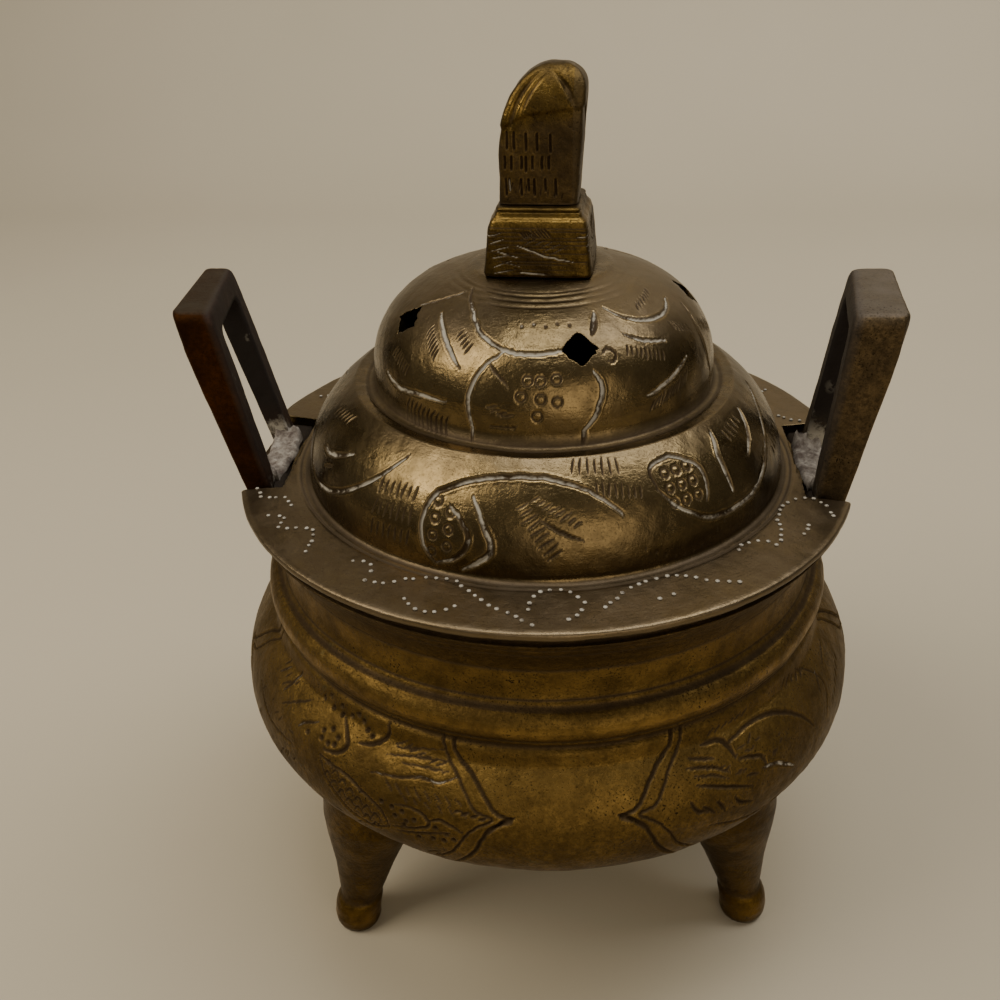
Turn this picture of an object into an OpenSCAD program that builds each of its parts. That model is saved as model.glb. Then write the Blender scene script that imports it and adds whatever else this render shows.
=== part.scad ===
// Covered tripod incense burner: a round cast bowl on three legs, with two leaning
// strap handles, and a two-tier pierced lid with a square pedestal and knob.
// Z is up, the feet stand on z = 0 and the Z axis is the bowl's own axis.
// The front is -Y. The handles stand at the two sides, a little forward of the middle.

/* [Bowl] */
// Greatest outer radius of the belly
belly_r = 51.8; // [50.8:0.1:52.6]
// Height of the belly's widest point above the ground
belly_z = 50.8; // [50.2:0.1:51.4]
// Depth of the belly from its widest point down to its underside
belly_drop = 16.2; // [15.6:0.1:16.8]
// Thickness of the bowl's wall
bowl_wall = 2.4; // [2:0.1:2.8]
// Inner radius of the bowl's mouth
mouth_r = 41; // [40.8:0.1:41.2]
// Outer radius of the bowl's rim
rim_r = 47.2; // [46.8:0.1:47.5]
// Height of the face that the lid rests on
rim_z = 85; // [84.6:0.1:85.4]

/* [Lid] */
// Outer radius of the lid's flat flange
flange_r = 48; // [47.6:0.1:48.4]
// Thickness of the flange
flange_t = 1.6; // [1.4:0.1:2]
// Outer radius of the lower tier at its foot
tier_low_r = 37.2; // [36.8:0.1:37.6]
// Rise from the flange to the foot of the upper tier
tier_low_h = 13.9; // [13.4:0.1:14.4]
// Outer radius of the upper tier at its foot
tier_top_r = 25.9; // [25.5:0.1:26.3]
// Rise of the upper tier from its foot to its crown
tier_top_h = 17; // [16.6:0.1:17.4]
// Thickness of the domed shell
lid_wall = 1.8; // [1.6:0.1:2.2]
// Depth of the locating lip that drops into the bowl's mouth
lip_h = 3; // [2:0.1:4]
// Radial clearance between the lip and the bowl's mouth
lip_gap = 0.5; // [0.4:0.1:0.7]
// Side of each square smoke hole, which stands on its corner
vent_side = 3.7; // [3:0.1:4]
// Bearing of each smoke hole, in degrees from the front towards the right
vent_bearings = [-60, 16, 94, 163, 232];

/* [Handles] */
// Width of a handle across both of its bars
handle_w = 21.6; // [21:0.2:22.4]
// Width of each bar, measured along the rim
bar_w = 4.2; // [3.8:0.1:4.6]
// Height of the strap that joins the bars at the top
strap_h = 4; // [3.4:0.1:4.6]
// Height of the handle's top above the ground
handle_z = 114; // [112:0.2:116]
// Distance of the handles' middle in front of the bowl's axis
handle_forward = 2.5; // [1.5:0.1:3]
// Left handle's outer face from the axis: front and back bar at the foot, then at the top
left_reach = [45.4, 46.4, 52.4, 54]; // [45:0.1:55]
// Right handle's outer face from the axis: front and back bar at the foot, then at the top
right_reach = [45.2, 46.2, 50, 52.6]; // [45:0.1:55]
// Thickness of the left handle's bars, in the same order
left_bar_t = [4, 3.2, 6.4, 4.4]; // [3:0.1:8]
// Thickness of the right handle's bars, in the same order
right_bar_t = [4.6, 3.8, 8, 6.6]; // [3:0.1:8]
// Clearance between a handle's inner face and the notch in the lid
notch_gap = 1.2; // [1:0.1:1.6]
// Clearance between a bar and the notch's side
notch_side = 0.7; // [0.5:0.1:1]

/* [Legs] */
// Distance from the bowl's axis to the middle of each foot
foot_r = 42; // [41.6:0.1:42.5]
// Bearings of the legs, in degrees from the front towards the right
leg_bearings = [-53, 63, 185];
// Radius of each leg screw's shank
leg_screw_r = 1.5; // [1.3:0.1:1.7]

/* [Finial] */
// Turn of the pedestal and knob away from square with the handles
finial_turn = -3; // [-6:0.5:6]
// Width of the pedestal at its foot
pedestal_foot_w = 15.4; // [14.8:0.1:16]
// Width of the pedestal at its shoulder
pedestal_top_w = 13.6; // [13:0.1:14.2]
// Height of the pedestal's shoulder above its foot
pedestal_h = 8; // [7.8:0.1:8.4]
// Height of the small step on top of the pedestal
step_h = 1.4; // [1.2:0.1:1.6]
// Width of the knob where it stands on the step
knob_w = 11; // [10.6:0.1:11.4]
// Thickness of the knob from front to back
knob_t = 8; // [7.4:0.1:8.6]
// Height of the knob above the step
knob_h = 17.8; // [17.4:0.1:18.4]
// Radius of the finial screw's shank
finial_screw_r = 1.5; // [1.3:0.1:1.7]

/* [Hidden] */

round_fn = 96;     // facets shown on a full turn
small_fn = 32;     // facets shown on a small turn
over = 1;          // how far a cutter runs past what it cuts
screw_fit = 0.1;   // clearance round a screw's shank where it passes through

brass = [0.52, 0.42, 0.22];
dull_brass = [0.42, 0.36, 0.25];
red_brass = [0.33, 0.18, 0.10];
steel = [0.45, 0.43, 0.40];
residue = [0.72, 0.70, 0.62];

// ---- outlines -------------------------------------------------------------

// A point on a rounded-square curve of half-width w and half-height h.
// t is 0 at the side and 90 at the end; power 2 is an ellipse, more is squarer.
function curve_point(w, h, power, t) =
    [w * pow(abs(cos(t)), 2 / power), h * pow(abs(sin(t)), 2 / power)];

// The curve's points from t = from to t = to, about the axis point at height z
function curve(w, h, power, z, from, to, steps) =
    [for (i = [0:steps]) let (p = curve_point(w, abs(h), power, from + (to - from) * i / steps))
        [p[0], z + sign(h) * p[1]]];

// ---- shared pieces --------------------------------------------------------

// Places its children at a bearing from the front, with +Y there pointing outwards
module at_bearing(bearing, r = 0) rotate([0, 0, bearing + 180]) translate([0, r, 0]) children();

head_r = 3;                // radius of the screws' heads
head_h = 1.8;              // height of the screws' heads
slot_w = 0.8;              // width of the screwdriver slot
slot_d = 0.9;              // depth of the screwdriver slot

// A slotted screw with its head on top: the head stands on z = 0, the shank hangs below
module slotted_screw(shank_r, shank_l) difference() {
    union() {
        cylinder(r = head_r, h = head_h, $fn = small_fn);
        translate([0, 0, -shank_l]) cylinder(r = shank_r, h = shank_l + head_h / 2, $fn = small_fn);
    }
    translate([-head_r - over, -slot_w / 2, head_h - slot_d]) cube([2 * (head_r + over), slot_w, slot_d + over]);
}

// ---- bowl -----------------------------------------------------------------

belly_low_power = 2.16;    // squareness of the belly's curve below its widest point
belly_top_power = 2.2;     // and above it
belly_top_h = 22;          // half-height of the belly's curve above its widest point
groove_r = 45.1;           // radius of the groove under the bead
groove_z = rim_z - 19.9;   // height of that groove
shoulder_from = 6;         // the shoulder's curve starts just above the widest point
shoulder_to = acos(pow((groove_r + 1) / belly_r, belly_top_power / 2));
bead_r = 46;               // radius of the rounded bead under the neck
bead_z = rim_z - 16.8;     // height of the bead's crown
bead_half = 2.9;           // half-height of the bead
neck_r = 43.1;             // narrowest radius of the neck
neck_low_z = rim_z - 13.4; // bottom of the plain neck
neck_high_z = rim_z - 8.6; // top of the plain neck, at the turned line
flare_z = rim_z - 5.4;     // height on the flare between the neck and the rim
rim_band_z = rim_z - 1.4;  // where the flare turns up to the rim
rim_step = 0.5;            // drop of the rim's outer edge, which shows as a dark seam
rim_step_w = 1.2;          // width of that dropped edge
line_d = 0.25;             // depth of the turned lines
line_w = 0.3;              // half-width of the turned lines

bowl_outer = concat(
    curve(belly_r, -belly_drop, belly_low_power, belly_z, 90, 0, 14),
    curve(belly_r, belly_top_h, belly_top_power, belly_z, shoulder_from, shoulder_to, 6),
    [[groove_r + 0.5, groove_z - 1.2], [groove_r, groove_z],
     [bead_r - 0.3, bead_z - bead_half / 2], [bead_r, bead_z],
     [bead_r - 0.5, bead_z + bead_half / 2], [bead_r - 1.5, bead_z + bead_half],
     [neck_r + 0.5, neck_low_z], [neck_r, neck_low_z + 1.6], [neck_r, neck_high_z - line_w],
     [neck_r - line_d, neck_high_z], [neck_r + 0.2, neck_high_z + line_w],
     [neck_r + 1.4, flare_z], [rim_r - 0.4, rim_band_z], [rim_r, rim_z - 2 * rim_step],
     [rim_r - 0.2, rim_z - rim_step], [rim_r - rim_step_w, rim_z - rim_step],
     [rim_r - rim_step_w, rim_z], [mouth_r, rim_z]]
);

cavity_r = belly_r - bowl_wall;
cavity_drop = belly_drop - bowl_wall;
cavity_top_h = belly_top_h - bowl_wall / 2;
throat_z = rim_z - 18;     // height where the cavity meets the straight mouth
throat_turn = acos(pow((groove_r + 0.5 - bowl_wall) / cavity_r, belly_top_power / 2));
bowl_inner = concat(
    [[mouth_r, throat_z]],
    curve(cavity_r, cavity_top_h, belly_top_power, belly_z, throat_turn, shoulder_from, 6),
    curve(cavity_r, -cavity_drop, belly_low_power, belly_z, 0, 90, 12)
);

leg_pin_r = 32;            // distance of each leg's screw from the bowl's axis
boss_r = 4;                // radius of the flat seat under each leg screw's head
boss_z = 41.6;             // height of that seat inside the bowl
boss_foot_z = 39;          // height where the seat starts, inside the wall
screw_grip = 12;           // length of a leg screw below its head

module bowl() color(brass) difference() {
    union() {
        rotate_extrude($fn = round_fn) polygon(concat(bowl_outer, bowl_inner));
        for (b = leg_bearings)
            at_bearing(b, leg_pin_r) translate([0, 0, boss_foot_z])
                cylinder(r = boss_r, h = boss_z - boss_foot_z, $fn = small_fn);
    }
    for (b = leg_bearings)
        at_bearing(b, leg_pin_r) translate([0, 0, boss_z - screw_grip])
            cylinder(r = leg_screw_r + screw_fit, h = screw_grip + over, $fn = small_fn);
}

// ---- legs -----------------------------------------------------------------

leg_lean = 12.4;           // how far a leg leans outwards, in degrees
ankle_z = 7;               // height of the ankle above the ground
ankle_out = 40.9;          // distance of the ankle from the bowl's axis
foot_flat_r = 2.5;         // radius of the flat that a foot stands on

// Half-outline of the tapered shank, measured up the leg from the ankle
shank_outline = [[0, -2], [3.7, -2], [3.85, 0], [4.2, 2.5], [4.75, 5], [5.5, 8.5], [6.5, 12],
    [7.7, 16], [8.7, 20.5], [9.4, 27], [9.8, 33], [10, 40], [0, 40]];

// Half-outline of the rounded foot, measured up from the ground
foot_outline = [[0, 0], [foot_flat_r, 0], [3.4, 0.4], [3.95, 1.4], [4.15, 3], [4.2, 5],
    [4.1, 6.4], [3.6, 7.3], [0, 7.8]];

module leg() difference() {
    union() {
        translate([0, foot_r, 0]) rotate_extrude($fn = small_fn) polygon(foot_outline);
        translate([0, ankle_out, ankle_z]) rotate([leg_lean, 0, 0])
            rotate_extrude($fn = small_fn) polygon(shank_outline);
    }
    rotate_extrude($fn = round_fn)
        polygon(concat(curve(belly_r, -belly_drop, belly_low_power, belly_z, 90, 0, 14),
            [[belly_r, belly_z * 2], [0, belly_z * 2]]));
    translate([0, leg_pin_r, boss_z - screw_grip])
        cylinder(r = leg_screw_r, h = screw_grip, $fn = small_fn);
}

module leg_front_left() color(brass) at_bearing(leg_bearings[0]) leg();
module leg_front_right() color(brass) at_bearing(leg_bearings[1]) leg();
module leg_back() color(brass) at_bearing(leg_bearings[2]) leg();

module leg_screws() color(steel)
    for (b = leg_bearings)
        at_bearing(b, leg_pin_r) translate([0, 0, boss_z]) slotted_screw(leg_screw_r, screw_grip);

// ---- handles --------------------------------------------------------------

window_round = 2;          // radius of the window's upper corners
window_w = handle_w - 2 * bar_w;
window_z = handle_z - strap_h;
corner_cut = 1.4;          // size of the cut on the handle's outer back corner at the top
foot_cut = 0.8;            // and at the foot
plan_t = 0.01;             // thickness of the flat outlines that a handle is stretched between
solder_h = 0.7;            // depth of the solder left between the bars
solder_w = 2.8;            // width of that solder across the rim

// Outline of the window between a handle's two bars, seen along X
module window_face() {
    translate([-window_w / 2, 0]) square([window_w, window_z - window_round]);
    translate([-window_w / 2 + window_round, 0]) square([window_w - 2 * window_round, window_z]);
    for (side = [-1, 1])
        translate([side * (window_w / 2 - window_round), window_z - window_round])
            circle(window_round, $fn = small_fn);
}

// A handle's outline in plan, given how far out its outer face is at the front and
// the back, its thickness there and the size of the cut on its outer back corner
module handle_plan(front, back, front_t, back_t, cut) linear_extrude(plan_t) polygon([
    [front - front_t, -handle_w / 2], [front, -handle_w / 2],
    [back, handle_w / 2 - cut], [back - cut, handle_w / 2], [back - back_t, handle_w / 2],
]);

// A handle to the right of the bowl, with its outer face where reach says and bars bar_t thick
module handle(reach, bar_t) translate([0, -handle_forward, 0]) difference() {
    hull() {
        translate([0, 0, rim_z]) handle_plan(reach[0], reach[1], bar_t[0], bar_t[1], foot_cut);
        translate([0, 0, handle_z - plan_t]) handle_plan(reach[2], reach[3], bar_t[2], bar_t[3], corner_cut);
    }
    rotate([90, 0, 90]) linear_extrude(reach[3] + over) window_face();
}

module handle_right() color(dull_brass) handle(right_reach, right_bar_t);
module handle_left() color(red_brass) mirror([1, 0, 0]) handle(left_reach, left_bar_t);

// Solder run between the feet of one handle, on top of the rim
module solder(reach, bar_t) translate([reach[0] - bar_t[0], -handle_forward - window_w / 2, rim_z])
    cube([solder_w, window_w, solder_h]);

module handle_solder() color(residue) {
    solder(right_reach, right_bar_t);
    mirror([1, 0, 0]) solder(left_reach, left_bar_t);
}

// ---- lid ------------------------------------------------------------------

flange_z = rim_z + flange_t;
tier_power = 2.2;          // squareness of the lower tier's curve
tier_low_full = 20.5;      // height that the lower tier's curve would reach at the axis
crown_power = 2.6;         // squareness of the upper tier's curve
tier_z = flange_z + tier_low_h;
crown_z = tier_z + tier_top_h;
seat_z = crown_z - 0.3;    // height of the flat that the pedestal stands on
collar_r = 11;             // radius of the turned collar round the pedestal's foot
foot_line_r = 38.6;        // radius of the outer of two lines turned round the lower tier
line_pitch = 1;            // distance between those two lines
ledge_r = 26.6;            // radius of the line turned at the upper tier's foot
lip_t = 1.6;               // thickness of the locating lip
washer_r = 4.4;            // radius of the washer under the finial screw
washer_h = 1;              // thickness of that washer
seat_in_r = 6;             // radius of the flat inside the crown

tier_low_turn = asin(pow(tier_low_h / tier_low_full, tier_power / 2));
crown_turn = acos(pow(collar_r / tier_top_r, crown_power / 2));
lid_outer = concat(
    [[flange_r, rim_z], [flange_r, flange_z - line_w], [flange_r - line_w, flange_z]],
    [for (i = [0:1], p = [[line_w, 0], [0, -line_d], [-line_w, 0]])
        [foot_line_r - i * line_pitch + p[0], flange_z + p[1]]],
    curve(tier_low_r, tier_low_full, tier_power, flange_z, 0, tier_low_turn, 10),
    [[ledge_r + line_w, tier_z], [ledge_r, tier_z - line_d], [ledge_r - line_w, tier_z]],
    curve(tier_top_r, tier_top_h, crown_power, tier_z, 4, crown_turn, 12),
    [[collar_r - 0.2, seat_z], [0, seat_z]]
);

under_low_r = tier_low_r - lid_wall;
under_low_full = tier_low_full - lid_wall;
under_top_r = tier_top_r - lid_wall;
under_tier_z = tier_z - lid_wall;
seat_in_z = crown_z - 2.1;
under_turn = asin(pow((under_tier_z - flange_z) / under_low_full, tier_power / 2));
seat_in_turn = acos(pow(seat_in_r / under_top_r, crown_power / 2));
lip_r = mouth_r - lip_gap;
lid_inner = concat(
    [[0, seat_in_z], [seat_in_r, seat_in_z]],
    curve(under_top_r, seat_in_z - under_tier_z, crown_power, under_tier_z, seat_in_turn, 0, 10),
    curve(under_low_r, under_low_full, tier_power, flange_z, under_turn, 0, 8),
    [[lip_r - lip_t, rim_z], [lip_r - lip_t, rim_z - lip_h], [lip_r, rim_z - lip_h], [lip_r, rim_z]]
);

vent_r = 21.4;             // distance of each smoke hole's middle from the axis
vent_tilt = 48;            // upward tilt of each smoke hole, in degrees
vent_z = tier_z + tier_top_h * pow(1 - pow(vent_r / tier_top_r, crown_power), 1 / crown_power);
vent_l = 5;                // length of each smoke hole's cutter either way
notch_x = min(left_reach[0] - left_bar_t[0], right_reach[0] - right_bar_t[0]) - notch_gap;
notch_flare = 0.2;         // widening of each notch towards the rim, as a slope
notch_half = handle_w / 2 + notch_side;
notch_out = flange_r + over - notch_x;

module vent_cutter() rotate([vent_tilt, 0, 0]) rotate([0, 45, 0])
    cube([vent_side, 2 * vent_l, vent_side], center = true);

// Notch for one handle, open at the flange's edge and wider there
module notch_cutter() translate([notch_x, -handle_forward, rim_z])
    linear_extrude(flange_t + over)
        polygon([[0, -notch_half], [notch_out, -notch_half - notch_flare * notch_out],
            [notch_out, notch_half + notch_flare * notch_out], [0, notch_half]]);

module lid_shell() color(brass) difference() {
    rotate_extrude($fn = round_fn) polygon(concat(lid_outer, lid_inner));
    for (b = vent_bearings) at_bearing(b, vent_r) translate([0, 0, vent_z]) vent_cutter();
    for (side = [0, 1]) mirror([side, 0, 0]) notch_cutter();
    translate([0, 0, seat_in_z - over])
        cylinder(r = finial_screw_r + screw_fit, h = crown_z, $fn = small_fn);
}

// ---- finial ---------------------------------------------------------------

shoulder_z = seat_z + pedestal_h;
step_inset = 0.5;          // inset of the step from the pedestal's shoulder
step_z = shoulder_z + step_h;
finial_grip = 7;           // length of finial screw inside the pedestal
knob_front = -4.6;         // place of the knob's front face
knob_left = -5.6;          // place of the knob's left side
knob_peak = 2;             // place of the knob's highest point, right of the middle
knob_spring = 7.4;         // height where the knob's left side starts to curve
knob_corner = 3.2;         // radius of the knob's upper right corner
knob_bulge = 0.9;          // overhang of that corner past the knob's foot
brow_z = 10.4;             // height where the front starts to curve back
nape_z = 12;               // height where the back starts to curve forward
crest = 0.6;               // place of the knob's crest between front and back

// Points on a quarter of an ellipse about c, from angle t0 to angle t1
function quarter(c, w, h, t0, t1, steps) =
    [for (i = [0:steps]) let (t = t0 + (t1 - t0) * i / steps) [c[0] + w * cos(t), c[1] + h * sin(t)]];

knob_face = concat(
    [[knob_left, 0]],
    quarter([knob_peak, knob_spring], knob_peak - knob_left, knob_h - knob_spring, 180, 90, 8),
    quarter([knob_left + knob_w + knob_bulge - knob_corner, knob_h - knob_corner],
        knob_corner, knob_corner, 90, 0, 5),
    [[knob_left + knob_w, 0]]
);
knob_side = concat(
    [[knob_front, 0]],
    quarter([crest, brow_z], crest - knob_front, knob_h - brow_z, 180, 90, 7),
    quarter([crest, nape_z], knob_front + knob_t - crest, knob_h - nape_z, 90, 0, 6),
    [[knob_front + knob_t, 0]]
);

// A block whose front and side views are both the same tapered outline
module tapered_block(foot_w, top_w, h) intersection() {
    rotate([90, 0, 0]) linear_extrude(foot_w + 2 * over, center = true)
        polygon([[-foot_w / 2, 0], [foot_w / 2, 0], [top_w / 2, h], [-top_w / 2, h]]);
    rotate([90, 0, 90]) linear_extrude(foot_w + 2 * over, center = true)
        polygon([[-foot_w / 2, 0], [foot_w / 2, 0], [top_w / 2, h], [-top_w / 2, h]]);
}

module finial_pedestal() color(brass) rotate([0, 0, finial_turn]) difference() {
    union() {
        translate([0, 0, seat_z]) tapered_block(pedestal_foot_w, pedestal_top_w, pedestal_h);
        translate([0, 0, shoulder_z])
            tapered_block(pedestal_top_w - 2 * step_inset, pedestal_top_w - 4 * step_inset, step_h);
    }
    translate([0, 0, seat_z - over]) cylinder(r = finial_screw_r, h = finial_grip + over, $fn = small_fn);
}

module finial_knob() color(brass) rotate([0, 0, finial_turn]) translate([0, 0, step_z])
    intersection() {
        rotate([90, 0, 0]) linear_extrude(3 * knob_t, center = true) polygon(knob_face);
        rotate([90, 0, 90]) linear_extrude(3 * knob_w, center = true) polygon(knob_side);
    }

module finial_screw() color(steel) translate([0, 0, seat_in_z - washer_h]) mirror([0, 0, 1])
    slotted_screw(finial_screw_r, seat_z - seat_in_z + washer_h + finial_grip);

module finial_washer() color(steel) translate([0, 0, seat_in_z - washer_h]) difference() {
    cylinder(r = washer_r, h = washer_h, $fn = small_fn);
    translate([0, 0, -over]) cylinder(r = finial_screw_r + screw_fit, h = washer_h + 2 * over, $fn = small_fn);
}

bowl();
leg_front_left();
leg_front_right();
leg_back();
leg_screws();
handle_left();
handle_right();
handle_solder();
lid_shell();
finial_pedestal();
finial_knob();
finial_screw();
finial_washer();
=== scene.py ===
import math

import bmesh
import bpy
import numpy as np
from mathutils import Matrix, Vector


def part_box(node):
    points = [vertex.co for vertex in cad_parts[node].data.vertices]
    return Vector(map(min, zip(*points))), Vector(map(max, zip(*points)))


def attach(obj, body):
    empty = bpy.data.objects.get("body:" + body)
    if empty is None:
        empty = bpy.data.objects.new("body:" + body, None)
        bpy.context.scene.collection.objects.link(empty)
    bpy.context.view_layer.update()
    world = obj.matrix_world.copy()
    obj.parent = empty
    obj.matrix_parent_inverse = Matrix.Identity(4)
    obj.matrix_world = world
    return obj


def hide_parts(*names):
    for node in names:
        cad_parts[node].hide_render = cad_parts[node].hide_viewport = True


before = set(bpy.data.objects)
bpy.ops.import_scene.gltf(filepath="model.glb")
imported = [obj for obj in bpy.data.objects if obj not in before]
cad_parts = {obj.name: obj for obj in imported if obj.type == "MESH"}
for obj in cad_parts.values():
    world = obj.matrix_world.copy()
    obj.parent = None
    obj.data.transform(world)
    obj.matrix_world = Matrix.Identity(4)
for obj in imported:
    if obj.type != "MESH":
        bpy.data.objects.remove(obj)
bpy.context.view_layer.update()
MM = 0.001
rng = np.random.default_rng(7)


def box_mm(node):
    """Lowest and highest corner of a CAD node, in millimetres."""
    low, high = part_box(node)
    return [v / MM for v in low], [v / MM for v in high]


# ---- sizes, from the frame --------------------------------------------------

bowl_low, bowl_high = box_mm("bowl")
lid_low, lid_high = box_mm("lid_shell")
knob_low, knob_high = box_mm("finial_knob")
BELLY_R = bowl_high[0]
BOWL_FLOOR = bowl_low[2]
RIM_Z = bowl_high[2]
FLANGE_R = lid_high[1]
SEAT_Z = lid_high[2]
LIP_Z = lid_low[2]
SEAT_IN_Z = box_mm("finial_washer")[1][2]
STEP_Z = knob_low[2]
KNOB_H = knob_high[2] - STEP_Z

BELLY_DROP = 16.2
BELLY_Z = BOWL_FLOOR + BELLY_DROP
BELLY_POWER = 2.16
SHOULDER_POWER = 2.2
SHOULDER_H = 22
WALL = 2.4
MOUTH_R = 41
LIP_IN_R, LIP_OUT_R = 38.9, 40.5
FLANGE_Z = RIM_Z + 1.6
TIER_LOW_R, TIER_LOW_H, TIER_LOW_FULL, TIER_POWER = 37.2, 13.9, 20.5, 2.2
TIER_TOP_R, TIER_TOP_H, CROWN_POWER = 25.9, 17, 2.6
TIER_Z = FLANGE_Z + TIER_LOW_H
LID_WALL = 1.8
LEG_BEARINGS = (-53, 63, 185)
LEG_PIN_R, LEG_PAD_R, SCREW_HEAD = 32, 5.4, 1.8
ROOT_Z = 38.0                    # about where a leg's root meets the belly
LEG_BURIED = 0.25                # how far a leg's root stands inside the belly's skin
VENT_BEARINGS = (-60, 16, 94, 163, 232)
VENT_SIDE, VENT_R, VENT_TILT = 3.7, 21.4, 48
HANDLE_FORWARD = 2.5
BAR_W, STRAP_H = 4.2, 4.0
BAR_COLUMNS, SAMPLES = 72, 2000  # points round a bar's section, and steps used to space them
NOTCH_R, NOTCH_HALF, NOTCH_FLARE = 39.3, 11.5, 0.2
FINIAL_TURN = -3
CUT_WIDTH = 0.72                 # a cut's width for each millimetre asked for
HAND_SHAKE = 0.045               # how unsteady a cut's path is, in millimetres
DOT_SPACING, DOT_STRAY, DOT_R, DOT_H = 1.35, 0.11, 0.30, 0.12
BEAD_DROP, NECK_DROP = 16.9, 10.5    # the bead's crest and the neck's middle, below the rim
SOOT = 0.9
FACE_EDGE = 0.38                 # a block's face ends this share of its width from the middle
FAR = 1e3
SWEEP_Y, SWEEP_R = 0.45, 0.20    # metres: where the floor curves up, and how tightly


# ---- curves and grids -------------------------------------------------------


def oval(w, h, power, z, start, end, steps):
    """Points on a rounded-square curve about the axis point at height z."""
    t = np.radians(np.linspace(start, end, steps + 1))
    r = w * np.abs(np.cos(t)) ** (2 / power)
    return np.stack([r, z + h * np.abs(np.sin(t)) ** (2 / power)], -1)


def hump(value, middle, width, power=2):
    """1 at the middle value, falling off to both sides."""
    return np.exp(-(((value - middle) / width) ** power))


def rounded_square(angle, power):
    """x and y of points on a rounded square of half-width 1."""
    c, s = np.cos(angle), np.sin(angle)
    norm = (np.abs(c) ** power + np.abs(s) ** power) ** (-1 / power)
    return c * norm, s * norm


def turned(grid, degrees):
    """The points turned about Z."""
    c, s = math.cos(math.radians(degrees)), math.sin(math.radians(degrees))
    return grid @ np.array([[c, -s, 0], [s, c, 0], [0, 0, 1]]).T


def resample(points, step):
    """The same line with points about one step apart."""
    points = np.asarray(points, float)
    at = np.concatenate([[0], np.cumsum(np.hypot(*np.diff(points, axis=0).T))])
    along = np.linspace(0, at[-1], max(1, round(at[-1] / step)) + 1)
    return np.stack([np.interp(along, at, points[:, k]) for k in (0, 1)], -1)


def smooth(points, per=6):
    """A Catmull-Rom curve through the points."""
    p = np.asarray(points, float)
    if len(p) == 2:
        return p[0] + (p[1] - p[0]) * np.linspace(0, 1, 3)[:, None]
    ext = np.vstack([2 * p[0] - p[1], p, 2 * p[-1] - p[-2]])
    t = np.linspace(0, 1, per, endpoint=False)[:, None]
    out = []
    for a, b, c, d in zip(ext, ext[1:], ext[2:], ext[3:]):
        bend = (2 * a - 5 * b + 4 * c - d) * t**2 + (3 * b - a - 3 * c + d) * t**3
        out.append(0.5 * (2 * b + (c - a) * t + bend))
    return np.vstack(out + [p[-1:]])


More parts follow.
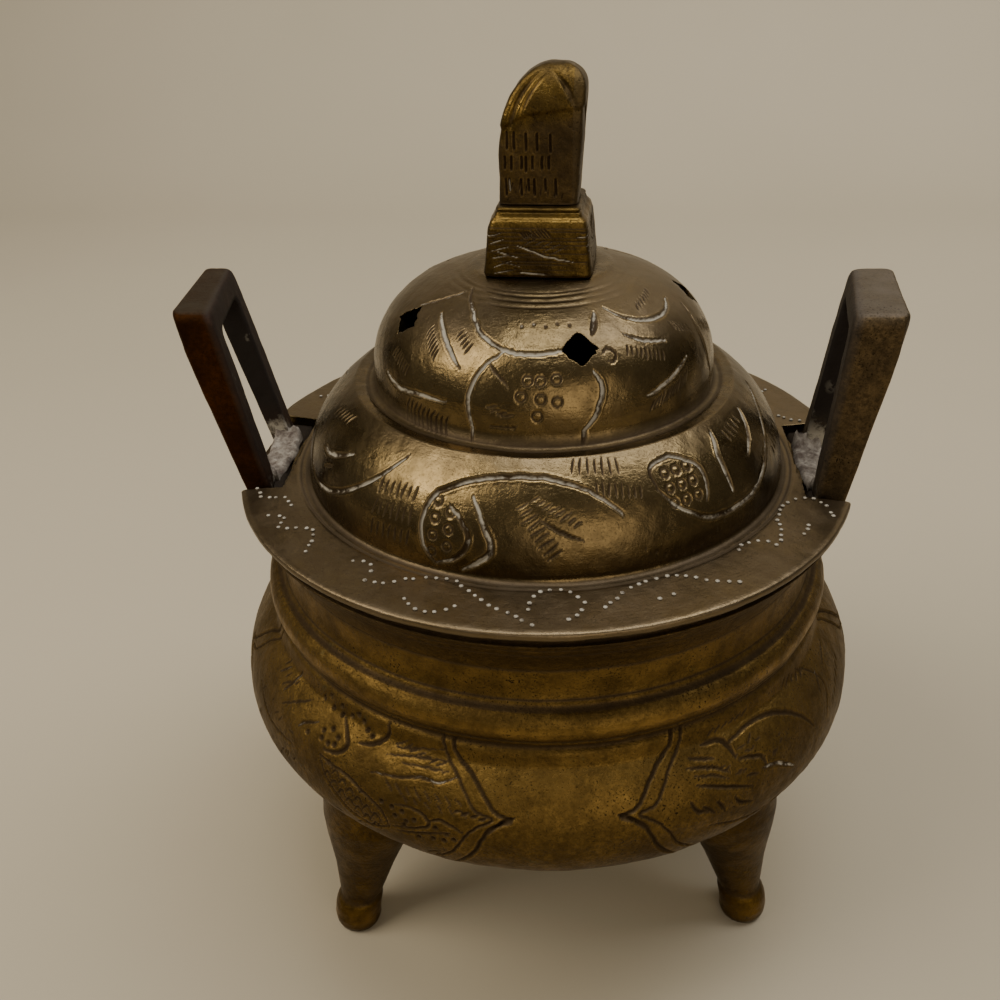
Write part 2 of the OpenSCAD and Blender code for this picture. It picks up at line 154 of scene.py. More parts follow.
class Relief:
    """Heights and stains on a grid of surface points, and the tools that make marks on it."""

    def __init__(self, shape):
        self.push = np.zeros(shape)
        # the cut and soot stains also hold painted shade, and the wear stain painted highlights
        self.stains = {name: np.zeros(shape) for name in ("cut", "chalk", "soot_and_shade", "dull", "wear_and_sheen")}

    def window(self, path, margin):
        """The cells near a path, their x and y in millimetres, a path's x scale, and its origin."""
        raise NotImplementedError

    def unit(self, point):
        """Millimetres to one unit of a path's x at that point."""
        return 1.0

    def stain(self, name, amount, cells=...):
        """Raises a stain to an amount, over the whole grid or in some cells."""
        self.stains[name][cells] = np.maximum(self.stains[name][cells], amount)

    def stroke(self, *points, half=0.4, depth=0.3, chalk=0.0, taper=True):
        """One graver's cut, narrow at its ends, with a burr raised along both sides."""
        half *= CUT_WIDTH
        path = smooth(points)
        path[1:-1] += rng.normal(0, HAND_SHAKE, path[1:-1].shape) / (self.unit(path[0]), 1)
        found = self.window(path, half * 3)
        if found is None:
            return
        cells, x, y, scale, origin = found
        px = (path[:, 0] - origin) * scale
        best = np.full(np.broadcast(x, y).shape, FAR)
        along = np.zeros_like(best)
        last = len(path) - 1
        for k in range(last):
            ax, bx = px[..., k : k + 1], px[..., k + 1 : k + 2]
            ay, by = path[k, 1], path[k + 1, 1]
            dx, dy = bx - ax, by - ay
            t = np.clip(((x - ax) * dx + (y - ay) * dy) / (dx * dx + dy * dy + 1e-9), 0, 1)
            near = np.hypot(x - ax - t * dx, y - ay - t * dy)
            closer = near < best
            best = np.where(closer, near, best)
            along = np.where(closer, (k + t) / last, along)
        swell = 1.0
        if taper:
            swell = 0.35 + 0.65 * np.sin(math.pi * np.clip(along, 0.02, 0.98)) ** 0.6
        u = best / (half * swell)
        inside = np.clip(1 - u * u, 0, 1)
        burr = 0.22 * hump(u, 1.35, 0.35)
        self.push[cells] += depth * swell * (burr - inside)
        self.stain("cut", np.clip(1.8 - 1.35 * u, 0, 1), cells)
        self.stain("wear_and_sheen", min(1, 1.6 * depth) * hump(u, 1.6, 0.35), cells)
        if chalk:
            self.stain("chalk", chalk * np.clip(1.15 - u, 0, 1), cells)

    def strokes(self, *rows):
        """Cuts from rows of half width, depth, chalk and then the points."""
        for half, depth, chalk, *points in rows:
            self.stroke(*points, half=half, depth=depth, chalk=chalk)

    def punch(self, point, radius=0.5, depth=0.3, ring=0.0, chalk=0.0):
        """A round punch mark, or a tube's ring mark where ring is its radius."""
        found = self.window(np.array([point, point], float), radius + ring + 0.4)
        if found is None:
            return
        cells, x, y, scale, origin = found
        away = np.hypot(x - (point[0] - origin) * scale[..., :1], y - point[1])
        u = np.abs(away - ring) / radius
        inside = np.clip(1 - u * u, 0, 1)
        self.push[cells] -= depth * inside
        self.stain("cut", np.clip(2.4 - 2 * u, 0, 1), cells)
        if chalk:
            self.stain("chalk", chalk * np.clip(1.2 - u, 0, 1), cells)

    def grass(self, corner_a, corner_b, count, length, lean, half, depth):
        """Short cuts scattered between two corners, all leaning much the same way."""
        a, b = np.array(corner_a, float), np.array(corner_b, float)
        for spot in a + (b - a) * rng.random((count, 2)):
            reach, turn = length * (0.6 + 0.7 * rng.random()), lean + rng.normal(0, 14)
            self.hatch(spot, spot, 1, reach, turn, half, depth)

    def hatch(self, start, end, count, length, lean, half=0.25, depth=0.2, chalk=0.0):
        """A row of short cuts from start to end. lean is in degrees from upright, towards +x."""
        for i in range(count):
            mid = np.array(start, float) + (np.array(end, float) - start) * i / max(1, count - 1)
            reach = length * (0.4 + 0.2 * rng.random())
            turn = math.radians(lean + rng.normal(0, 4))
            dx = reach * math.sin(turn) / self.unit(mid)
            dy = reach * math.cos(turn)
            self.stroke(mid - (dx, dy), mid + (dx, dy), half=half, depth=depth, chalk=chalk)


class Skin(Relief):
    """A turned surface: a closed profile swept round Z, with rows along it and columns round it."""

    def __init__(self, sections, bearings):
        rows, names = [], []
        for name, points, step in sections:
            points = resample(points, step)[1 if rows else 0 :]
            rows += list(points)
            names += [name] * len(points)
        self.r, self.z = np.array(rows).T
        self.names = np.array(names)
        self.bearings = np.asarray(bearings, float)
        steps = np.hypot(np.diff(self.r), np.diff(self.z))
        self.s = np.concatenate([[0], np.cumsum(steps)])
        ahead = np.gradient(np.stack([self.r, self.z], -1), axis=0)
        ahead /= np.linalg.norm(ahead, axis=1)[:, None] + 1e-12
        self.out_r, self.out_z = ahead[:, 1], -ahead[:, 0]
        super().__init__((len(self.r), len(self.bearings)))
        self.use(names[0], 0)

    def use(self, name, origin, centre=0):
        """Paths are now (bearing from centre, distance past origin) on the named rows."""
        self.rows = np.nonzero(np.isin(self.names, name))[0]
        self.origin, self.centre = origin, centre

    def arc_at(self, r, z):
        return self.s[np.argmin(np.hypot(self.r - r, self.z - z))]

    def unit(self, point):
        row = np.argmin(np.abs(self.s - self.origin - point[1]))
        return math.radians(max(self.r[row], 5))

    def window(self, path, margin):
        up = self.s[self.rows] - self.origin
        rows = self.rows[(up > path[:, 1].min() - margin) & (up < path[:, 1].max() + margin)]
        if not len(rows):
            return None
        middle = path[:, 0].mean()
        turn = (self.bearings - self.centre - middle + 180) % 360 - 180
        span = np.ptp(path[:, 0]) / 2 + math.degrees(margin / max(self.r[rows].min(), 4))
        columns = np.nonzero(np.abs(turn) < span)[0]
        if not len(columns):
            return None
        scale = np.radians(self.r[rows])[:, None]
        x = turn[columns][None, :] * scale
        y = (self.s[rows] - self.origin)[:, None]
        return np.ix_(rows, columns), x, y, scale, middle

    def turned_line(self, z, half=0.35, depth=0.2, r_from=0):
        """A line cut on the lathe at height z, a little uneven round the circle."""
        wave = 1 + 0.3 * np.sin(np.radians(3 * self.bearings + z * 40))
        wave += 0.2 * np.sin(np.radians(11 * self.bearings))
        hit = (np.abs(self.z - z) < 1) & (self.r > r_from)
        fall = np.clip(1 - ((self.z - z) / half) ** 2, 0, 1) * hit
        self.push -= depth * fall[:, None] * wave[None, :]
        self.stain("cut", fall[:, None] * 0.9)

    def places(self, push=0.0):
        """x, y and z of every point, pushed out along the surface's normal."""
        angle = np.radians(self.bearings)
        r = self.r[:, None] + push * self.out_r[:, None]
        z = self.z[:, None] + push * self.out_z[:, None] + 0 * angle
        return r * np.sin(angle), -r * np.cos(angle), z

    def mesh(self, name):
        """The closed mesh, with a single point where the profile meets the axis."""
        return grid_mesh(name, np.stack(self.places(self.push), -1), self.stains)


def grid_mesh(name, grid, stains=None):
    """A closed object from a grid whose columns wrap round and whose end rows close to a point."""
    rows, columns = grid.shape[:2]
    first, last = grid[0].mean(0), grid[-1].mean(0)
    body = grid[1:-1].reshape(-1, 3)
    points = np.vstack([body, first[None], last[None]]) * MM
    index = np.arange((rows - 2) * columns).reshape(rows - 2, columns)
    right = np.roll(index, -1, axis=1)
    quads = np.stack([index[:-1], right[:-1], right[1:], index[1:]], -1).reshape(-1, 4)
    low, high = len(points) - 2, len(points) - 1
    fans = [(low, int(b), int(a)) for a, b in zip(index[0], right[0])]
    fans += [(int(a), int(b), high) for a, b in zip(index[-1], right[-1])]
    mesh = bpy.data.meshes.new(name)
    mesh.from_pydata(points.tolist(), [], quads.tolist() + fans)
    for key, values in (stains or {}).items():
        if values.any():
            layer = mesh.attributes.new(key, "FLOAT", "POINT")
            flat = np.concatenate([values[1:-1].ravel(), [values[0].mean(), values[-1].mean()]])
            layer.data.foreach_set("value", flat.astype(np.float32))
    return new_object(name, mesh)


def new_object(name, mesh, smooth_faces=True):
    """A new object in the scene, with smooth or flat shading."""
    mesh.polygons.foreach_set("use_smooth", [smooth_faces] * len(mesh.polygons))
    mesh.validate()
    mesh.update()
    piece = bpy.data.objects.new(name, mesh)
    bpy.context.scene.collection.objects.link(piece)
    return piece


def bmesh_object(name, b, smooth_faces=True):
    """The object that a bmesh describes. The bmesh is used up."""
    mesh = bpy.data.meshes.new(name)
    b.to_mesh(mesh)
    b.free()
    return new_object(name, mesh, smooth_faces)


def finish_piece(piece, material, body, slot, *nodes):
    """Gives a piece its material, the CAD nodes that it replaces and its body; slot is not used."""
    piece.data.materials.clear()
    piece.data.materials.append(material)
    if nodes:
        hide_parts(*nodes)
    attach(piece, body)


def cut_out(piece, cutters):
    """Takes the cutters out of the piece and removes them."""
    for cutter in cutters:
        step = piece.modifiers.new("cut", "BOOLEAN")
        step.operation = "DIFFERENCE"
        step.solver = "MANIFOLD"
        step.object = cutter
    bpy.context.view_layer.update()
    graph = bpy.context.evaluated_depsgraph_get()
    shaped = piece.evaluated_get(graph)
    mesh = bpy.data.meshes.new_from_object(shaped, preserve_all_data_layers=True, depsgraph=graph)
    piece.modifiers.clear()
    piece.data = mesh
    for cutter in cutters:
        bpy.data.objects.remove(cutter)


def prism(name, outline, low, high):
    """A straight, flat-shaded prism over an outline in the XY plane."""
    b = bmesh.new()
    face = b.faces.new([b.verts.new((x * MM, y * MM, low * MM)) for x, y in outline])
    top = bmesh.ops.extrude_face_region(b, geom=[face])["geom"]
    move = [v for v in top if isinstance(v, bmesh.types.BMVert)]
    bmesh.ops.translate(b, vec=(0, 0, (high - low) * MM), verts=move)
    bmesh.ops.recalc_face_normals(b, faces=b.faces)
    return bmesh_object(name, b, smooth_faces=False)


def wobble(x, y, z, size, seed=0):
    """A smooth, repeatable unevenness between about -1 and 1 that varies over size millimetres."""
    k = 2 * math.pi / size
    a = np.sin(k * (x + 0.7 * y) + seed) * np.sin(k * (0.8 * z - 0.5 * x) + 2 * seed)
    b = np.sin(1.7 * k * (y - 0.4 * z) + 3 * seed) * np.sin(1.3 * k * (x + z) + seed)
    return 0.6 * a + 0.4 * b


# The columns of the bowl and the lid stand closer together on the side that faces the camera.
BEARINGS = np.concatenate([np.arange(-80, 90, 0.25), np.arange(90, 280, 0.6)])


# ---- materials --------------------------------------------------------------


def times(colour, factor):
    """A colour made lighter or darker."""
    return tuple(min(1.0, v * factor) for v in colour)


class Shader:
    """A material's node tree, built with short calls."""

    def __init__(self, name):
        self.material = bpy.data.materials.new(name)
        self.material.use_nodes = True
        self.tree = self.material.node_tree
        self.surface = self.tree.nodes["Principled BSDF"]
        self.place = self.node("ShaderNodeTexCoord").outputs["Object"]

    def node(self, kind, inputs=(), **settings):
        made = self.tree.nodes.new(kind)
        for key, value in settings.items():
            setattr(made, key, value)
        for key, value in dict(inputs).items():
            self.feed(made.inputs[key], value)
        return made

    def feed(self, socket, value):
        if isinstance(value, bpy.types.NodeSocket):
            self.tree.links.new(value, socket)
        else:
            socket.default_value = value

    def put(self, name, value):
        """Sets or links one of the surface's own sockets."""
        self.feed(self.surface.inputs[name], value)

    def noise(self, scale, detail=3, rough=0.55, vector=None, distortion=0.0):
        values = {"Vector": vector or self.place, "Scale": scale, "Detail": detail,
                  "Roughness": rough, "Distortion": distortion}
        return self.node("ShaderNodeTexNoise", values).outputs["Fac"]

    def span(self, value, low, high, to_low=0.0, to_high=1.0):
        values = {"Value": value, "From Min": low, "From Max": high,
                  "To Min": to_low, "To Max": to_high}
        return self.node("ShaderNodeMapRange", values).outputs["Result"]

    def maths(self, kind, a, b):
        return self.node("ShaderNodeMath", {0: a, 1: b}, operation=kind).outputs[0]

    def product(self, a, b):
        return self.maths("MULTIPLY", a, b)

    def stain(self, name):
        return self.node("ShaderNodeAttribute", attribute_name=name).outputs["Fac"]

    def mix(self, amount, a, b):
        as_colour = [v if isinstance(v, bpy.types.NodeSocket) else (*v, 1) for v in (a, b)]
        values = {0: amount, 6: as_colour[0], 7: as_colour[1]}
        return self.node("ShaderNodeMix", values, data_type="RGBA").outputs[2]

    def blend(self, amount, a, b):
        return self.node("ShaderNodeMix", {0: amount, 2: a, 3: b}, data_type="FLOAT").outputs[0]

    def bump(self, height, strength, distance, under=None):
        values = {"Height": height, "Strength": strength, "Distance": distance * MM}
        if under is not None:
            values["Normal"] = under
        return self.node("ShaderNodeBump", values).outputs["Normal"]

    def turned(self):
        """Coordinates that change only with radius and height, for marks left by the lathe."""
        part = self.node("ShaderNodeSeparateXYZ", {0: self.place})
        flat = self.node("ShaderNodeCombineXYZ", {0: part.outputs[0], 1: part.outputs[1]})
        radius = self.node("ShaderNodeVectorMath", {0: flat.outputs[0]}, operation="LENGTH")
        values = {0: radius.outputs["Value"], 1: part.outputs[2]}
        return self.node("ShaderNodeCombineXYZ", values).outputs[0]

    def facing_up(self):
        """How far the surface faces up, from -1 to 1."""
        normal = self.node("ShaderNodeNewGeometry").outputs["Normal"]
        return self.node("ShaderNodeSeparateXYZ", {0: normal}).outputs[2]


PIT_COLOUR = (0.012, 0.008, 0.004)
VERDIGRIS_COLOUR = (0.085, 0.10, 0.045)
# the cut and soot colours below also serve as painted shade
CUT_AND_SHADE_COLOUR = (0.030, 0.018, 0.008)
SOOT_AND_SHADE_COLOUR = (0.018, 0.014, 0.011)
CHALK_COLOUR = (0.33, 0.30, 0.23)


def aged_brass(name, gold, brown, grey, polish, grain, lathe=0.0, green=0.15, dusty_top=0.0):
    """Cast brass with patina, grain, pits, dark cuts, soot, white polish residue and bright wear;
    the cut and soot stains also carry painted shade and the wear stain painted highlights.
    """
    s = Shader(name)
    patches = s.span(s.noise(90, 4, 0.6, distortion=0.6), 0.38, 0.66)
    mottle = s.span(s.noise(420, 5, 0.65), 0.36, 0.68)
    fine = s.span(s.noise(1300, 6, 0.8), 0.42, 0.60)
    speck = s.span(s.noise(3600, 2, 0.5), 0.58, 0.68)
    dark_pits = s.product(speck, s.span(s.noise(150, 3), 0.40, 0.62, 0.15, 1.0))
    colour = s.mix(patches, gold, brown)
    deeper = times(brown, 0.55)
    colour = s.mix(s.product(mottle, 0.55), colour, deeper)
    colour = s.mix(s.product(fine, 0.75 * grain), colour, deeper)
    dull = s.stain("dull")
    if dusty_top:
        dull = s.maths("MAXIMUM", dull, s.span(s.facing_up(), 0.75, 0.95, 0.0, dusty_top))
    dull_here = s.product(dull, s.span(s.noise(260, 4), 0.3, 0.7, 0.55, 1.0))
    colour = s.mix(dull_here, colour, grey)
    # bright wear, and painted highlights: the bands on the bowl's neck and upper belly, and the
    # lobe and brow on the knob's front
    wear_and_sheen = s.product(s.stain("wear_and_sheen"), s.span(s.noise(300, 4), 0.35, 0.6, 0.2, 1.0))
    colour = s.mix(wear_and_sheen, colour, times(gold, 1.7))
    colour = s.mix(s.product(dark_pits, grain), colour, PIT_COLOUR)
    verdigris = s.span(s.noise(170, 4, 0.7, distortion=1.2), 0.66, 0.76, 0.0, green)
    colour = s.mix(verdigris, colour, VERDIGRIS_COLOUR)
    # dark cuts and soot, and painted shade: the band round the rim's top under the lid, the knob's
    # front below its lip and the handles' inner faces
    cut = s.span(s.stain("cut"), 0.15, 0.95, 0.0, 0.88)
    colour = s.mix(cut, colour, CUT_AND_SHADE_COLOUR)
    soot_and_shade = s.stain("soot_and_shade")
    colour = s.mix(soot_and_shade, colour, SOOT_AND_SHADE_COLOUR)
    broken = s.span(s.noise(300, 4, 0.7), 0.38, 0.56, 0.2, 1.0)
    chalk = s.span(s.product(s.stain("chalk"), broken), 0.22, 0.60)
    colour = s.mix(chalk, colour, CHALK_COLOUR)
    s.put("Base Color", colour)
    cover = s.maths("MAXIMUM", chalk, soot_and_shade)
    cover = s.maths("MAXIMUM", cover, s.product(cut, 0.6))
    s.put("Metallic", s.span(cover, 0.0, 1.0, 1.0, 0.0))
    rough = s.blend(patches, polish, polish + 0.10)
    rough = s.blend(dull_here, rough, polish + 0.26)
    rough = s.blend(wear_and_sheen, rough, max(0.16, polish - 0.14))
    rough = s.blend(s.product(mottle, 0.4), rough, polish + 0.22)
    rough = s.blend(cover, rough, 0.85)
    s.put("Roughness", rough)
    s.put("Specular IOR Level", s.blend(s.maths("MAXIMUM", soot_and_shade, cut), 0.5, 0.08))
    normal = s.bump(s.noise(480, 4, 0.6), 0.25 + 0.3 * grain, 0.22)
    normal = s.bump(s.noise(1500, 3, 0.65), min(1.0, 0.8 * grain), 0.12, normal)
    normal = s.bump(speck, 0.35 * grain, -0.12, normal)
    if lathe:
        normal = s.bump(s.noise(1900, 2, 0.6, s.turned()), lathe, 0.05, normal)
    s.put("Normal", normal)
    return s.material


def crust(name, light, dark):
    """Chalky solder and dried polish: matte, whitish and crumbly."""
    s = Shader(name)
    patches = s.span(s.noise(600, 4, 0.65), 0.35, 0.65)
    colour = s.mix(patches, light, dark)
    colour = s.mix(s.span(s.noise(1700, 3), 0.55, 0.7), colour, (0.09, 0.07, 0.05))
    s.put("Base Color", colour)
    s.put("Roughness", s.blend(patches, 0.75, 0.95))
    normal = s.bump(s.noise(900, 5, 0.7), 0.8, 0.3)
    s.put("Normal", normal)
    return s.material


def dull_steel(name):
    """A plain steel screw, brown with tarnish."""
    s = Shader(name)
    patches = s.span(s.noise(700, 4), 0.35, 0.65)
    s.put("Base Color", s.mix(patches, (0.34, 0.31, 0.27), (0.13, 0.09, 0.06)))
    s.put("Metallic", 1.0)
    s.put("Roughness", s.blend(patches, 0.38, 0.62))
    s.put("Normal", s.bump(s.noise(2200, 3), 0.3, 0.08))
    return s.material


def floor_paper(name):
    """Pale, plain, very slightly uneven paper."""
    s = Shader(name)
    s.put("Base Color", s.mix(s.noise(6, 2), (0.41, 0.355, 0.245), (0.45, 0.39, 0.272)))
    s.put("Roughness", s.blend(s.noise(40, 2), 0.75, 0.85))
    return s.material


BOWL_BRASS = aged_brass("bowl_brass", (0.160, 0.098, 0.026), (0.080, 0.048, 0.014),
                        (0.10, 0.068, 0.030), polish=0.46, grain=1.0, green=0.5)
LID_BRASS = aged_brass("lid_brass", (0.185, 0.130, 0.054), (0.098, 0.069, 0.031),
                       (0.16, 0.120, 0.070), polish=0.20, grain=0.4, lathe=0.4)
LEG_BRASS = aged_brass("leg_brass", (0.13, 0.075, 0.013), (0.055, 0.031, 0.007),
                       (0.08, 0.05, 0.022), polish=0.38, grain=0.9)
LEFT_BRASS = aged_brass("handle_left_brass", (0.065, 0.022, 0.004), (0.032, 0.012, 0.003),
                        (0.056, 0.042, 0.027), polish=0.50, grain=0.8, green=0.0, dusty_top=1.0)
RIGHT_BRASS = aged_brass("handle_right_brass", (0.13, 0.088, 0.040), (0.06, 0.042, 0.022),
                         (0.15, 0.124, 0.092), polish=0.48, grain=1.0, green=0.0, dusty_top=1.0)
FINIAL_BRASS = aged_brass("finial_brass", (0.128, 0.080, 0.020), (0.050, 0.031, 0.010),
                          (0.085, 0.062, 0.030), polish=0.36, grain=0.8)
CRUST = crust("solder_crust", (0.26, 0.23, 0.18), (0.07, 0.05, 0.035))
STEEL = dull_steel("screw_steel")
FLOOR = floor_paper("floor")


# ---- bowl -------------------------------------------------------------------


def bowl_profile():
    """The bowl's closed outline in three stretches: under the belly, the outside, the inside."""
    under = oval(BELLY_R, -BELLY_DROP, BELLY_POWER, BELLY_Z, 90, 30, 40)
    side = oval(BELLY_R, -BELLY_DROP, BELLY_POWER, BELLY_Z, 30, 0, 40)
    shoulder = oval(BELLY_R, SHOULDER_H, SHOULDER_POWER, BELLY_Z, 4, 28.4, 40)
    neck = [(45.6, -21.1), (45.1, -20.4), (45.1, -19.9), (45.5, -19.4), (45.6, -18.9), (46, -18),
            (46.2, -16.9), (46, -15.8), (45.5, -15), (44.6, -14.2), (43.9, -13.8), (43.6, -13.4),
            (43.2, -12.6), (43.1, -11.6), (43.1, -9), (43.2, -8.3), (43.8, -6.8), (44.6, -5.2),
            (45.7, -3.4), (46.5, -2.2), (46.9, -1.75), (47.1, -1.6), (47.1, -1.4), (46.9, -1.25),
            (46.2, -1.2), (46.1, -1.1), (46.1, -0.1), (46, 0)]
    neck = np.array(neck) + (0, RIM_Z)
    cavity_r = BELLY_R - WALL
    inside = np.vstack([
        [(46, RIM_Z), (MOUTH_R + 0.2, RIM_Z), (MOUTH_R, RIM_Z - 0.3), (MOUTH_R, RIM_Z - 18)],
        oval(cavity_r, SHOULDER_H - WALL / 2, SHOULDER_POWER, BELLY_Z, 31, 4, 14),
        oval(cavity_r, WALL - BELLY_DROP, BELLY_POWER, BELLY_Z, 0, 90, 40),
    ])
    return [("under", under, 1.6), ("belly", np.vstack([side, shoulder]), 0.26),
            ("neck", np.vstack([shoulder[-1:], neck]), 0.3), ("inside", inside, 2.2)]


def pea_pod_panel(skin):
    """Engraved panel with a scaled pod, petals, seed punches and grass."""
    hatch = skin.hatch
    skin.strokes(
        (0.44, 0.4, 0, (1, 6), (4, 5.8), (8, 5.5), (11, 4.5), (15, 2.9), (16.5, 0.3)),
        (0.44, 0.4, 0, (1, 6), (3, 3.6), (6, 1.5), (9, -0.2), (13, -0.8), (16.5, 0.3)),
    )
    for k in range(7):
        for side in (-1, 1):
            b, s = 3.6 + 1.75 * k, 4.7 - 0.72 * k + 0.85 * side
            skin.stroke((b - 0.9, s - 0.4), (b, s + 0.5), (b + 0.9, s - 0.4), half=0.3, depth=0.26)
    skin.strokes(
        (0.4, 0.3, 0.4, (-12, 13.8), (-13, 11), (-14, 9.2)),
        (0.34, 0.24, 0.4, (-16, 12.6), (-18, 10.5)),
        (0.36, 0.28, 0.4, (-2, 9.9), (-5, 8.3), (-6, 7.2)),
        (0.5, 0.4, 0.2, (3, 12.8), (5, 11), (6, 9.2), (4, 7.6), (1.5, 7.2)),
        (0.5, 0.4, 0.2, (13, 15.4), (13, 13.3), (11, 11.6), (8, 10.7)),
        (0.36, 0.24, 0.6, (12, 7.8), (18, 8.8), (21, 9.6), (24, 9.4), (27, 10.7)),
        (0.26, 0.18, 0, (14, 11), (19, 12), (25, 12.6)),
        (0.24, 0.14, 0, (15, 12.4), (20, 13.2), (24, 14)),
        (0.26, 0.18, 0, (17, 10.6), (22, 11.1), (26, 11.1)),
        (0.4, 0.34, 0, (17.5, 4.8), (21, 4.9), (23, 4.1), (23.5, 3), (22, 2.1), (17, 0.7)),
        (0.4, 0.34, 0, (23.4, 3.6), (25, 4.3), (27, 3.9), (29, 3.1)),
        (0.3, 0.24, 0, (18, 0.2), (22, 1.2), (27, 2.6)),
        (0.3, 0.22, 0, (-22, 6), (-14, 3.4), (-6, 4)),
    )
    seeds = [(-3.4, 13.3), (-1.6, 14.4), (-0.4, 13), (1.6, 14), (2.2, 12.9), (4.4, 13.5), (6, 14.3),
             (7.4, 13.7), (8.6, 12.9), (10, 12.4), (0, 9.5), (1.8, 10.4), (3.6, 9.8), (2, 8.2),
             (3.4, 8.6), (0.2, 8.3), (-3.4, 7.6), (15, 4.3), (17, 4.1), (18.8, 3.9), (17.6, 2.8),
             (19.6, 2.5), (21, 3.2), (19.2, 1.7), (24.6, 2.8), (26.4, 2.2), (21.8, 0.4),
             (24.2, 0.9), (26, 1), (27.6, 1.5)]
    for b, s in seeds:
        skin.punch((b, s), 0.44, 0.5)
    hatch((16, 7), (28, 7.4), 8, 1.6, -42, 0.24, 0.16)
    hatch((19, 6), (29, 6), 6, 1.3, -42, 0.22, 0.14)
    hatch((28, 6.2), (32, 5.6), 4, 1.1, 70, 0.36, 0.3)
    hatch((16, 13.2), (24, 12), 7, 1.6, 62, 0.24, 0.14)
    hatch((-12, 8), (-7, 11), 6, 1.5, 50, 0.26, 0.16)
    skin.grass((-20, 5), (-7, 13), 12, 1.4, 40, 0.26, 0.14)
    skin.grass((-24, -4), (-2, 3), 16, 1.5, 20, 0.28, 0.16)
    skin.grass((4, -6), (27, -1.5), 16, 1.5, 60, 0.28, 0.16)


def fan_leaf_panel(skin):
    """Engraved panel with a big arched leaf, its scalloped edge and its veins."""
    hatch = skin.hatch
    skin.strokes(
        (0.6, 0.5, 0, (-20.5, 12.5), (-17, 12.3), (-15.6, 10.9), (-15, 9)),
        (0.5, 0.42, 0, (-14.6, 8.5), (-12, 8), (-10, 7.1), (-9.6, 5.6)),
        (0.56, 0.44, 0, (-16, 11.2), (-10, 12.2), (-5, 11.7), (-1, 10.1), (2, 7.9), (4, 5.2)),
        (0.5, 0.32, 1.0, (-10.6, 5.6), (-7, 4.7), (-3, 2.1)),
        (0.42, 0.34, 0, (-23.5, 11.4), (-19, 10.2)),
        (0.4, 0.34, 0, (-24.4, 10.2), (-20, 9.2), (-17, 7.4)),
        (0.34, 0.28, 0, (-23.4, 8.9), (-20, 8), (-17.6, 6.8)),
        (0.46, 0.38, 0, (-23.4, 7.6), (-19, 6), (-13, 3.7)),
        (0.46, 0.4, 0, (-25, 5.6), (-24, 3.9), (-22, 3.2)),
        (0.42, 0.34, 0, (-23, 4.3), (-21, 2.5)),
        (0.42, 0.34, 0, (-20.4, 4.3), (-19, 2.3)),
        (0.42, 0.36, 0, (-17, 3.7), (-16, 2.3), (-13.6, 1.3)),
        (0.34, 0.26, 0, (-14, 5.8), (-11.6, 5.2)),
        (0.3, 0.22, 0.4, (20, 11.8), (15, 9.8)),
        (0.32, 0.24, 0.4, (12, 10.7), (9.6, 7.6)),
        (0.32, 0.22, 0, (7, 13.6), (11, 11), (12, 7.6), (9, 4)),
        (0.34, 0.26, 0, (-22, 0.6), (-14, -1.5), (-4, -2.4), (8, -2)),
    )
    hatch((-21.4, 9.6), (-17, 8.2), 5, 1.0, 80, 0.26, 0.2)
    hatch((-18, 13.6), (-10, 13.9), 6, 1.4, 62, 0.26, 0.16)
    hatch((2, 13.8), (8, 12.4), 5, 1.5, 50, 0.28, 0.18)
    hatch((13, 4.5), (21, 7.5), 6, 1.5, 35, 0.28, 0.18)
    skin.grass((-16, 4), (-3, 10.4), 14, 1.1, 75, 0.24, 0.12)
    skin.grass((-20, -6), (14, -3), 18, 1.5, 60, 0.28, 0.16)


def cartouche(skin):
    """The double line that frames a panel, with a curly-bracket point at each side."""
    outer = [(25.5, 16.6), (26.5, 13.8), (29.5, 11.7), (32, 9), (34, 6.8), (36.5, 5.9), (33.4, 4.5),
             (32, 2.3), (30, -1), (24, -6), (12, -8.5), (0, -9)]
    inner = [(23.5, 16.2), (24.8, 13.4), (27.3, 11), (29.6, 8), (31, 6.6), (33.6, 5.8), (31, 4.2),
             (29, 2), (27, -1), (21, -5), (10, -7.3), (0, -7.8)]
    for side in (-1, 1):
        skin.stroke(*((side * b, s) for b, s in outer), half=0.42, depth=0.4, taper=False)
        skin.stroke(*((side * b, s) for b, s in inner), half=0.32, taper=False)
        skin.stroke((side * 37, 6.3), (side * 35, 5.5), (side * 33, 3.6), half=0.46, depth=0.44)


